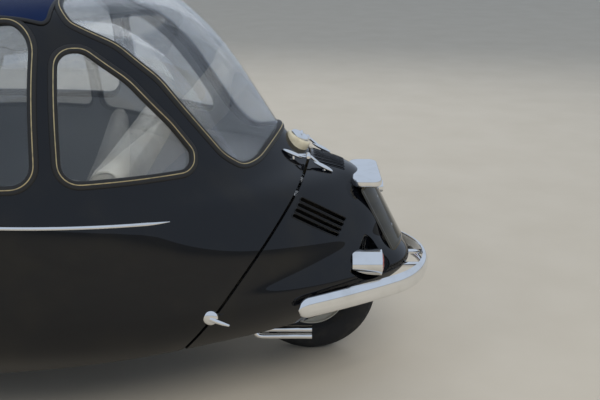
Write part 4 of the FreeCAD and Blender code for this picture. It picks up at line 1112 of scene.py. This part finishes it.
# The rear bumper's bend behind the car and its two wings, each bowed a little.
APEX, BEND_R, SWING, REAR_LEVEL, BOW = -1275, 300, math.radians(57), 352, 6
corner = np.array([APEX + BEND_R - BEND_R * math.cos(SWING), BEND_R * math.sin(SWING)])
tip = np.array([-815.0, 440.0])
chord = tip - corner
middle = (tip + corner) / 2 + BOW * np.array([-chord[1], chord[0]]) / np.linalg.norm(chord)
wing, wing_out = arc_through(tip, middle, corner, 40)
bend, bend_out = arc_through(corner, (APEX, 0), corner * [1, -1], 80)
path = np.vstack([wing, bend[1:-1], wing[::-1] * [1, -1]])
out = eased(np.vstack([wing_out, bend_out[1:-1], wing_out[::-1] * [1, -1]]), 6, closed=False)
out /= np.linalg.norm(out, axis=1, keepdims=True)
bumper = blade(path, out, REAR_LEVEL)
for side in (-1, 1):
    bumper.tube([(x, 60 * side, REAR_LEVEL) for x in (-1264, -1180, -1100)], STAY_R)
for side in (-1, 1):
    bumper.tube([(-900, y * side, REAR_LEVEL) for y in (388, 320, 250)], STAY_R)
bumper.make("bright_rear_bumper", "tail_cover", "bright_chrome", ("rear_bumper",))

FRONT_APEX, FRONT_R, FRONT_HALF, FRONT_LEVEL = 1275, 850, 395, 280
spread = math.asin(FRONT_HALF / FRONT_R)
turns = np.linspace(-spread, spread, 100)
out = np.stack([np.cos(turns), np.sin(turns)], 1)
bumper = blade([FRONT_APEX - FRONT_R, 0] + out * FRONT_R, out, FRONT_LEVEL)
for y in (-200, 200):
    bumper.tube([(x, y, FRONT_LEVEL) for x in (1240, 1170, 1100)], STAY_R)
bumper.make("bright_front_bumper", "chassis", "bright_chrome", ("front_bumper",))

# Tail lamps: a bright barrel with a rolled bezel around a ribbed red dome.
BACK, LAMP_FOOT = (-1, 0, 0), (-1000, LAMP[1], LAMP[2])
barrels, reds = Build(), Build()
barrels.turned([(38, 84), (39, 86.5), (41, 87.5), (43.8, 86.5), (44.6, 84), (44.6, 80), (44, 78), (44, -12),
                (38, -12)], LAMP_FOOT, BACK, closed=True)
reds.turned([(0, 95.5), (8, 95.3), (16, 94.6), (24, 93.2), (30, 91.2), (34.5, 88.8), (37, 86), (38.2, 83),
             (38.2, 70), (0, 70)], LAMP_FOOT, BACK)
barrels.mirrored().make("tail_lamp_barrels", "tail_cover", "bright_chrome", ("tail_lamp_housings",))
reds.mirrored().make("tail_lamp_domes", "tail_cover", "red_lens", ("tail_lamp_lenses",))

# Number plate: a sheet curved about its own upright line, leaning with the tail, on four posts.
PLATE_R, PLATE_HALF, PLATE_H, PLATE_ROUND, PLATE_THICK, PLATE_COLUMNS = 195, 130, 258, 14, 2.2, 90
PLATE_FOOT, LEAN = Vector((-1179, 0, 447)), turned_by(27, "Y")
half_angle = math.asin(PLATE_HALF / PLATE_R)
angles = half_angle * np.sin(np.linspace(-math.pi / 2, math.pi / 2, PLATE_COLUMNS))
rows = np.concatenate([[0, 0.008, 0.02, 0.032, 0.045], np.linspace(0.06, 0.94, 12),
                       [0.955, 0.968, 0.98, 0.992, 1]])


def plate_point(angle, share, off):
    """A point off the plate's face, at an angle about its line and a share of its height."""
    from_side = PLATE_R * (half_angle - abs(angle))
    cut = max(PLATE_ROUND - from_side, 0)
    trim = (PLATE_ROUND - math.sqrt(PLATE_ROUND ** 2 - cut ** 2)) / PLATE_H
    height = PLATE_H * (trim + share * (1 - 2 * trim))
    radius = PLATE_R + off
    return PLATE_FOOT + LEAN @ Vector((PLATE_R - radius * math.cos(angle), radius * math.sin(angle), height))


def border(angle, share):
    """Height of the raised line that runs near the plate's edge."""
    away = min(PLATE_R * (half_angle - abs(angle)), PLATE_H * min(share, 1 - share))
    return 1.6 * math.exp(-((away - 7) / 2.4) ** 2)


rings = []
for angle in angles:
    face = [plate_point(angle, share, border(angle, share)) for share in rows]
    back = [plate_point(angle, share, border(angle, share) - PLATE_THICK) for share in rows[::-1]]
    rings.append(face + back)
plate = Build().lofted(rings)
for turn in (-0.32, 0.32):
    for share in (0.27, 0.72):
        spot = plate_point(turn, share, -2)
        plate.tube([spot, spot + Vector((30, 0, -8)), spot + Vector((75, 0, -20))], 8, pick=1)
plate.make("blank_number_plate", "tail_cover", "black_plate", ("number_plate",), (FINISH["bright_chrome"],))

# Plate lamp hood with its window, and a clear reversing lamp beneath its right end.
REVERSING_LAMP = (-1085, -40, 612)
hood = Build().slab((-1041, 0, 673), (52, 128, 16), corner=34, edge=11, steps=10)
hood.slab((-1050, 0, 656.4), (26, 88, 1.6), corner=6, edge=1, pick=1)
hood.turned([(15, 23), (17, 25), (20, 25), (22, 22.5), (22, -55), (14, -55), (14, 15)], REVERSING_LAMP, BACK, 40,
            closed=True)
hood.turned([(0, 25.5), (6, 25.2), (11, 24.2), (15.5, 22), (15.5, 8), (0, 8)], REVERSING_LAMP, BACK, 40, pick=1)
hood.make("plate_hood", "tail_cover", "bright_chrome", ("plate_lamp_hood",), (MILK,))

# Filler: a cream ring on the crown and a bright cap with a grip bar.
cap_foot, cap_axis = Vector((-807, 0, 793)), Vector((-0.5, 0, 0.866)).normalized()
ring = Build().turned([(31, 12), (33, 14), (38, 14.6), (42, 12), (44, 6), (45, -4), (45, -60), (31, -60)],
                      cap_foot, cap_axis, closed=True)
ring.make("filler_ring", "chassis", "cream_plastic", ("filler_base",))
cap = Build().turned([(0, 29), (10, 28.8), (20, 27.8), (27, 26), (31.5, 23), (33.5, 19), (34, 15), (33, 12.5),
                      (30, 11), (30, 2), (0, 2)], cap_foot, cap_axis)
cap.ball(cap_foot + cap_axis * 28, (27, 6, 7), Matrix(((0, 1, 0), (1, 0, 0), (0, 0, 1))))
cap.make("filler_lid", "chassis", "bright_chrome", ("filler_cap",))

# Cover hinges: two slender blades per hinge meet at a pin over the shut line.
PIN, LEAF = Vector((-842, 118, 768)), (38, 11, 7)
front_leaf, rear_leaf = Build(), Build()
front_leaf.ball(PIN + Vector((50, 0, 8)), LEAF, turned_by(-24, "Y"))
rear_leaf.ball(PIN + Vector((-50, 0, -36)), LEAF, turned_by(-28, "Y"))
front_leaf.tube([PIN + Vector((0, side, 0)) for side in (-19, -6, 6, 19)], 4.8)
rear_leaf.turned([(5.1, -8.6), (8.4, -8.8), (9, -8), (9, 8), (8.4, 8.8), (5.1, 8.6)], PIN, (0, 1, 0), 32,
                 closed=True)
for side in (-14, 14):
    front_leaf.ball(PIN + Vector((0, side, 0)), (9, 5, 9))
    front_leaf.tube([PIN + Vector((2, side, 0)), PIN + Vector((20, side * 0.7, 1)), PIN + Vector((40, 0, 4))], 3.8)
rear_leaf.tube([PIN + Vector((-8, 0, -2)), PIN + Vector((-22, 0, -14)), PIN + Vector((-40, 0, -30))], 5)
front_leaf.tube([PIN + Vector((50, 0, at)) for at in (4, -20, -55)], 6)
rear_leaf.tube([PIN + Vector((-54, 0, at)) for at in (-40, -60, -90)], 6)
front_leaf.mirrored().make("front_hinge_blades", "chassis", "bright_chrome", ("hinge_front_leaves",))
rear_leaf.mirrored().make("rear_hinge_blades", "tail_cover", "bright_chrome", ("hinge_rear_leaves",))

# Cover latches: a domed disc with a lever.
LATCH = Vector((-545, 545, 384))
latch = Build().turned([(0, 7), (8, 6.6), (16, 5), (22, 2), (24, -2), (24, -50), (0, -50)], LATCH, (0, 1, 0))
latch.tube([LATCH + Vector(place) for place in ((0, 2, 0), (-20, 5, -8), (-40, 5, -16), (-57, 3, -23))], 7.2,
           radii=[1.1, 1, 0.85, 0.5])
latch.mirrored().make("domed_latches", "chassis", "bright_chrome", ("cover_latches",))

# Headlamps: a bullet pod with a bright bezel, a bowl reflector and a domed glass.
HEADLAMP, AHEAD = Vector((975, 617, 620)), (1, 0, 0)
shell, lens = Build(), Build()
pod = [(6, -290), (14, -284), (22, -270)]
pod += [(20 + 48 * math.sin(math.pi / 2 * share ** 0.85), -262 + 246 * share)
        for share in np.linspace(0.02, 1, 26)]
pod += [(68, -10), (62, -10)]
pod += [(60, -12), (59, -16), (50, -30), (36, -41), (18, -47), (4, -48)]
shell.turned(pod, HEADLAMP, AHEAD, 72)
for bright in ([(57, 3), (60, 6.5), (64, 7), (68, 4), (70, -1), (70, -9), (68, -14), (64, -14), (58, -6)],
               [(3.8, -46), (17, -45), (35, -39), (49, -28), (58.2, -14), (58.8, -14), (50, -29), (36, -40),
                (18, -46.4), (3.8, -47.4)]):
    shell.turned(bright, HEADLAMP, AHEAD, 72, pick=1, closed=True)
shell.ball(HEADLAMP - Vector((30, 0, 0)), (13, 9, 9), pick=2)
places = np.array(shell.points)
surface, _ = on_side(places[:, [0, 2]])
places[:, 1] = np.maximum(places[:, 1], surface[:, 1] - 12)
shell.points = places.tolist()
lens.turned([(0, 12), (20, 10.6), (38, 7.2), (50, 3.4), (57, 0.5), (58, -3), (56, -3), (49, 0.4), (38, 4.2),
             (20, 7.6), (0, 9)], HEADLAMP, AHEAD, 72)
shell.mirrored().make("headlamp_pods", "chassis", "body_paint", ("headlamp_shells",),
                      (FINISH["bright_chrome"], MILK))
lens.mirrored().make("headlamp_lenses", "chassis", "clear_glass", ("headlamp_glasses",))

# Exhaust: a rolled silencer and two bright pipes, open behind.
EXHAUST_Y = 290
silencer = Build().turned([(0, 300), (38, 300), (44, 297), (47, 293), (47, 288), (46, 285), (46, 20), (47, 16),
                           (47, 11), (44, 6), (38, 3), (0, 3)], (-300, EXHAUST_Y, 330), BACK, 56)
silencer.make("rolled_silencer", "chassis", "dark_metal", ("silencer",))
pipes = Build()
for top, low in ((330, 216), (302, 190)):
    bends = [(x, EXHAUST_Y, z) for x, z in ((-596, top), (-622, top), (-670, low), (-855, low))]
    pipes.pipe(eased(evenly(bends, 6, closed=False), 8, closed=False), radius=10, wall=1.8)
pipes.make("bright_tail_pipes", "chassis", "bright_chrome", ("tail_pipes",))

# Door handle: a curved grip on two round posts.
OVERHANG, GRIP_RUN, GRIP_BOW = 14, 108, 3
first, last = Vector((1078, -405, 770)), Vector((1116, -335, 770))
run = (last - first).normalized()
ahead = Vector((run.y, -run.x, 0))
grip_path = [first + run * (at - OVERHANG) + ahead * (GRIP_BOW * math.sin(math.pi * at / GRIP_RUN))
             for at in np.linspace(0, GRIP_RUN, 19)]
grip = Build().tube(grip_path, 8, radii=[0.35, 0.75, 0.95] + [1] * 13 + [0.95, 0.75, 0.35])
for end in (first, last):
    grip.tube([end, end - Vector((30, 0, 0)), end - Vector((80, 0, 0))], 6.5)
grip.make("bright_door_handle", "door", "bright_chrome", ("door_handle",))
# Wheels: a treaded tyre, a pressed rim and at the front a domed cap.
TYRE_R, TYRE_HALF, RIM_R, RIM_HALF = 235, 56, 127, 42
WHEELS = {"front_tyre_left": ("front_rim_left", "hub_cap_left", "front_wheel_left",
                              (FRONT_X, TRACK_HALF, AXLE_Z), 1),
          "front_tyre_right": ("front_rim_right", "hub_cap_right", "front_wheel_right",
                               (FRONT_X, -TRACK_HALF, AXLE_Z), -1),
          "rear_tyre": ("rear_rim", None, "rear_wheel", (REAR_X, 0, AXLE_Z), 1)}
GROOVES = ((-23, 2.6), (0, 3.0), (23, 2.6))
GROOVE_DEEP, ZIGZAG, BLOCKS, TYRE_STEPS = 5.5, 3.2, 50, 200


def tyre_line():
    """The tyre's cross section as (radius, along), from the outer bead over the tread to the inner bead."""
    shoulder = TYRE_R - 12, TYRE_HALF - 14
    wall, _ = arc_through((RIM_R - 1, RIM_HALF), ((RIM_R + TYRE_R) / 2 + 4, TYRE_HALF), shoulder, 16)
    tread, _ = arc_through(shoulder, (TYRE_R, 0), (shoulder[0], -shoulder[1]), 56)
    return np.vstack([wall[:-1], tread, wall[-2::-1] * [1, -1]])


def tyre(centre, side):
    """A tyre with three zigzag grooves, blocks on its shoulders and ridges on its walls."""
    line = tyre_line()
    radius, along = line.T
    shoulder = (np.abs(along) > 33) & (np.abs(along) < 43) & (radius > TYRE_R - 22)
    ridge = 1.6 * np.exp(-((radius - RIM_R - 16) / 3) ** 2) + 1.2 * np.exp(-((radius - TYRE_R + 34) / 2.5) ** 2)
    under = np.column_stack([np.maximum(radius - 9, RIM_R - 1), along * 0.86])
    rings = []
    for step in range(TYRE_STEPS + 1):
        turn = 2 * math.pi * step / TYRE_STEPS
        zigzag = ZIGZAG * (abs((step * BLOCKS / TYRE_STEPS) % 1 - 0.5) * 4 - 1)
        groove = shoulder * (0.8 if step % 4 < 2 else 0.0)
        for middle, wide in GROOVES:
            groove = np.maximum(groove, np.exp(-((along - middle - zigzag) / wide) ** 4))
        out = np.column_stack([radius - GROOVE_DEEP * groove,
                               along + np.sign(along) * ridge * (np.abs(along) > 40)])
        ring = np.vstack([out, under[::-1]])
        rings.append([(centre[0] + r * math.cos(turn), centre[1] + side * a, centre[2] + r * math.sin(turn))
                      for r, a in ring])
    return Build().lofted(rings, capped=False)


# Profiles as (radius, along), and a wheel nut's.
RIM = [(127, 42), (127, 28), (111, 18), (111, -18), (127, -28), (127, -42), (123, -42), (123, -30), (107, -20),
       (107, -10), (84, -8), (68, 7), (34, 7), (34, -36), (15.1, -36), (15.1, 22), (34, 22), (34, 12), (70, 12),
       (86, -3), (107, -4), (107, 20), (123, 30), (123, 42)]
CAP = [(0, 36), (12, 35.4), (26, 33.6), (38, 31), (47, 28.2), (53, 27), (58, 25.4), (64, 21.6), (69, 16.5),
       (72, 12), (68, 12), (60, 19.5), (45, 24.5), (26, 29.5), (0, 32)]
NUT, NUTS, NUT_CIRCLE = [(0, 19), (3.5, 18.4), (6.5, 16.5), (8, 13), (8, 8), (0, 8)], 5, 51
for name, (rim_name, cap_name, body, centre, side) in WHEELS.items():
    tyre(centre, side).make("treaded_" + name, body, "tyre_rubber", (name,), smooth_angle=50)
    axis = (0, side, 0)
    rim = Build().turned(RIM, centre, axis, 96, closed=True)
    for k in range(NUTS):
        turn = 2 * math.pi * k / NUTS
        spot = Vector(centre) + Vector((NUT_CIRCLE * math.cos(turn), 0, NUT_CIRCLE * math.sin(turn)))
        rim.turned(NUT, spot, axis, 6, pick=1)
    rim.make("pressed_" + rim_name, body, "wheel_paint", (rim_name,), (FINISH["bright_chrome"],), bevel=1.6)
    if cap_name:
        Build().turned(CAP, centre, axis, 96).make("domed_" + cap_name, body, "bright_chrome", (cap_name,))

# Rear damper: a tube inside a coil spring.
SPRING_FOOT, SPRING_TOP = Vector((-757, -92, 286)), Vector((-716, -92, 655))
COIL_R, COILS, COIL_STEPS, SPRING_SEAT = 29, 8, 20, 20
rise = (SPRING_TOP - SPRING_FOOT).normalized()
across = Vector((0, 1, 0))
third = rise.cross(across)
length = (SPRING_TOP - SPRING_FOOT).length
coil = []
for step in range(COILS * COIL_STEPS + 1):
    turn, share = 2 * math.pi * step / COIL_STEPS, step / (COILS * COIL_STEPS)
    coil.append(SPRING_FOOT + rise * (SPRING_SEAT + (length - 2 * SPRING_SEAT) * share)
                + COIL_R * (across * math.cos(turn) + third * math.sin(turn)))
damper = Build().tube(coil, 5, 10)
damper.turned([(0, 0), (17, 0), (34, 4), (37, 10), (37, 14), (20, 16), (20, 200), (17, 204), (12, 206),
               (12, 330), (20, 332), (37, 336), (37, 344), (20, 350), (20, length), (0, length)],
              SPRING_FOOT, rise, 40)
damper.make("sprung_damper", "chassis", "dark_metal", ("rear_damper",))

# Steering: a slim rim on three bright spokes, with a boss, over a tapered column.
WHEEL_CENTRE, TILT, GRIP_R, SPOKE_DROP = Vector((430, 270, 800)), math.radians(42), 190, 30
column_axis = Vector((-math.sin(TILT), 0, math.cos(TILT)))
level = Vector((0, 1, 0))
upward = column_axis.cross(level)


def around(turn, radius, drop=0.0):
    """A point about the steering column's axis."""
    ray = level * math.cos(turn) + upward * math.sin(turn)
    return WHEEL_CENTRE + ray * float(radius) + column_axis * float(drop)


steering = Build().tube([around(2 * math.pi * k / 120, GRIP_R) for k in range(120)], 11, 18, closed=True)
steering.turned([(0, -8), (12, -8.6), (22, -11), (28, -16), (30, -22), (30, -44), (24, -52), (14, -57), (9, -60),
                 (9, -99), (0, -99)], WHEEL_CENTRE, column_axis, 56)
for turn in (0, 120, 240):
    turn = math.radians(turn)
    spoke = [around(turn, radius, -SPOKE_DROP + SPOKE_DROP * (radius / GRIP_R) ** 2)
             for radius in np.linspace(16, 186, 14)]
    steering.tube(spoke, 5.5, 12, pick=1)
steering.make("spoked_steering_wheel", "steering_wheel", "cream_plastic", ("steering_wheel",),
              (FINISH["bright_chrome"],))

# Seat pads: the plain solid shrunk a little, filled until it swells, then sewn and piped.
VOXEL, PRESSURE, FRAMES, SHRINK, SWELL = 6.0, 4.0, 20, 7, 16
CHANNELS, SEAM_DEEP, SEAM_WIDE = [130 * k for k in range(-3, 4)], 7.0, 8.0
PIPING_Y, PIPING_R = 507, 4.5


def filled_pad(name, node):
    """A closed even mesh of a seat's solid, swollen SWELL at most by cloth filled with air."""
    source = frame["nodes"][node].data
    corners = np.array([vertex.co[:] for vertex in source.vertices]) / MM
    middle, half = (corners.max(0) + corners.min(0)) / 2, (corners.max(0) - corners.min(0)) / 2
    thing = piece(name, middle + (corners - middle) * (1 - SHRINK / half),
                  [polygon.vertices[:] for polygon in source.polygons], "chassis", "cream_leather", (node,))
    even = thing.modifiers.new("even_faces", "REMESH")
    even.mode = "VOXEL"
    even.voxel_size = VOXEL * MM
    applied(thing)
    cloth = thing.modifiers.new("filling", "CLOTH")
    cloth.settings.quality = 4
    cloth.settings.use_pressure = True
    cloth.settings.uniform_pressure_force = PRESSURE
    cloth.settings.effector_weights.gravity = 0
    start = np.array([vertex.co[:] for vertex in thing.data.vertices])
    for number in range(1, FRAMES + 1):
        scene.frame_set(number)
    shape = thing.evaluated_get(bpy.context.evaluated_depsgraph_get()).to_mesh()
    move = np.array([vertex.co[:] for vertex in shape.vertices]) - start
    far = np.linalg.norm(move, axis=1, keepdims=True) / MM
    move *= np.minimum(1, SWELL / np.maximum(far, 1e-6))
    thing.modifiers.clear()
    scene.frame_set(1)
    thing.data.vertices.foreach_set("co", (start + move).ravel())
    thing.data.update()
    return thing


def sewn(thing, facing, axis, limit):
    """Sinks the sewn channels into the face that looks along facing, up to a limit along axis."""
    mesh = thing.data
    points = np.array([vertex.co[:] for vertex in mesh.vertices]) / MM
    normals = np.array([vertex.normal[:] for vertex in mesh.vertices])
    sink = sum(np.exp(-np.abs((points[:, 1] - y) / SEAM_WIDE) ** 1.3) for y in CHANNELS) * SEAM_DEEP
    sink *= np.clip((normals[:, facing] - 0.2) * 2, 0, 1) * np.clip((limit - points[:, axis]) / 40, 0, 1)
    mesh.vertices.foreach_set("co", ((points - normals * sink[:, None]) * MM).ravel())
    mesh.update()
    mesh.polygons.foreach_set("use_smooth", np.full(len(mesh.polygons), True))


def piping(thing, name, outline):
    """A cord sewn around both ends of a pad, laid on its surface."""
    form = Build()
    pad = BVHTree.FromObject(thing, bpy.context.evaluated_depsgraph_get())
    for y in (-PIPING_Y, PIPING_Y):
        line = []
        for x, z in evenly(rounded(outline), 12):
            spot, normal, _, _ = pad.find_nearest(Vector((x, y * 1.01, z)) * MM)
            line.append(np.array(spot) / MM + np.array(normal) * 1.5)
        form.tube(eased(line, 6), PIPING_R, 10, closed=True)
    form.make(name, "chassis", "cream_leather")


CUSHION = [(-186, 340, 12), (254, 340, 32), (266, 476, 48), (-156, 456, 32)]
BACK_PAD = [(-296, 340, 6), (-176, 340, 6), (-146, 449, 30), (-214, 857, 42), (-296, 857, 24)]
# Each pad: its piece, solid, piping and outline, the axis that its sewn face looks along, and where the
# seams end along another axis.
for name, node, cord, outline, facing, axis, limit in (
        ("seat_cushion_pad", "seat_cushion", "cushion_piping", CUSHION, 2, 0, 250),
        ("seat_back_pad", "seat_back", "back_piping", BACK_PAD, 0, 2, 830)):
    pad = filled_pad(name, node)
    sewn(pad, facing, axis, limit)
    piping(pad, cord, outline)


# A plain pale floor, a soft studio and the finish.
FLOOR, SKY, SKY_STRENGTH = 30, (0.72, 0.83, 1.0, 1), 0.66
floor = bpy.data.objects.new("studio_floor", bpy.data.meshes.new("studio_floor"))
floor.data.from_pydata([(-FLOOR, -FLOOR, 0), (FLOOR, -FLOOR, 0), (FLOOR, FLOOR, 0), (-FLOOR, FLOOR, 0)], [],
                       [(0, 1, 2, 3)])
floor.data.materials.append(finish_of(
    "studio_floor", (0.5, 0.45, 0.37), 0.9, 0, ("noise", 3, 6), ((0.47, 0.42, 0.34), (0.54, 0.49, 0.41)),
    Specular_IOR_Level=0.2))
scene.collection.objects.link(floor)
world = bpy.data.worlds.new("studio")
scene.world = world
world.use_nodes = True
sky = world.node_tree.nodes["Background"].inputs
sky["Color"].default_value = SKY
sky["Strength"].default_value = SKY_STRENGTH


def lamp(name, place, aim, size, watts, colour=(1, 1, 1)):
    light = bpy.data.objects.new(name, bpy.data.lights.new(name, "AREA"))
    light.data.shape = "RECTANGLE"
    light.data.size, light.data.size_y = size
    light.data.energy = watts
    light.data.color = colour
    light.location = place
    light.rotation_euler = (Vector(aim) - Vector(place)).to_track_quat("-Z", "Y").to_euler()
    light.visible_glossy = False
    scene.collection.objects.link(light)


lamp("key", (-3.0, 4.0, 6.0), (0, 0, 0.6), (5, 4), 250, (1.0, 0.95, 0.86))
lamp("fill", (4.0, 2.0, 4.0), (0, 0, 0.6), (4, 4), 60)
lamp("back", (-1.0, -5.0, 4.0), (0, 0, 0.7), (6, 3), 100)
scene.view_settings.view_transform = "Standard"
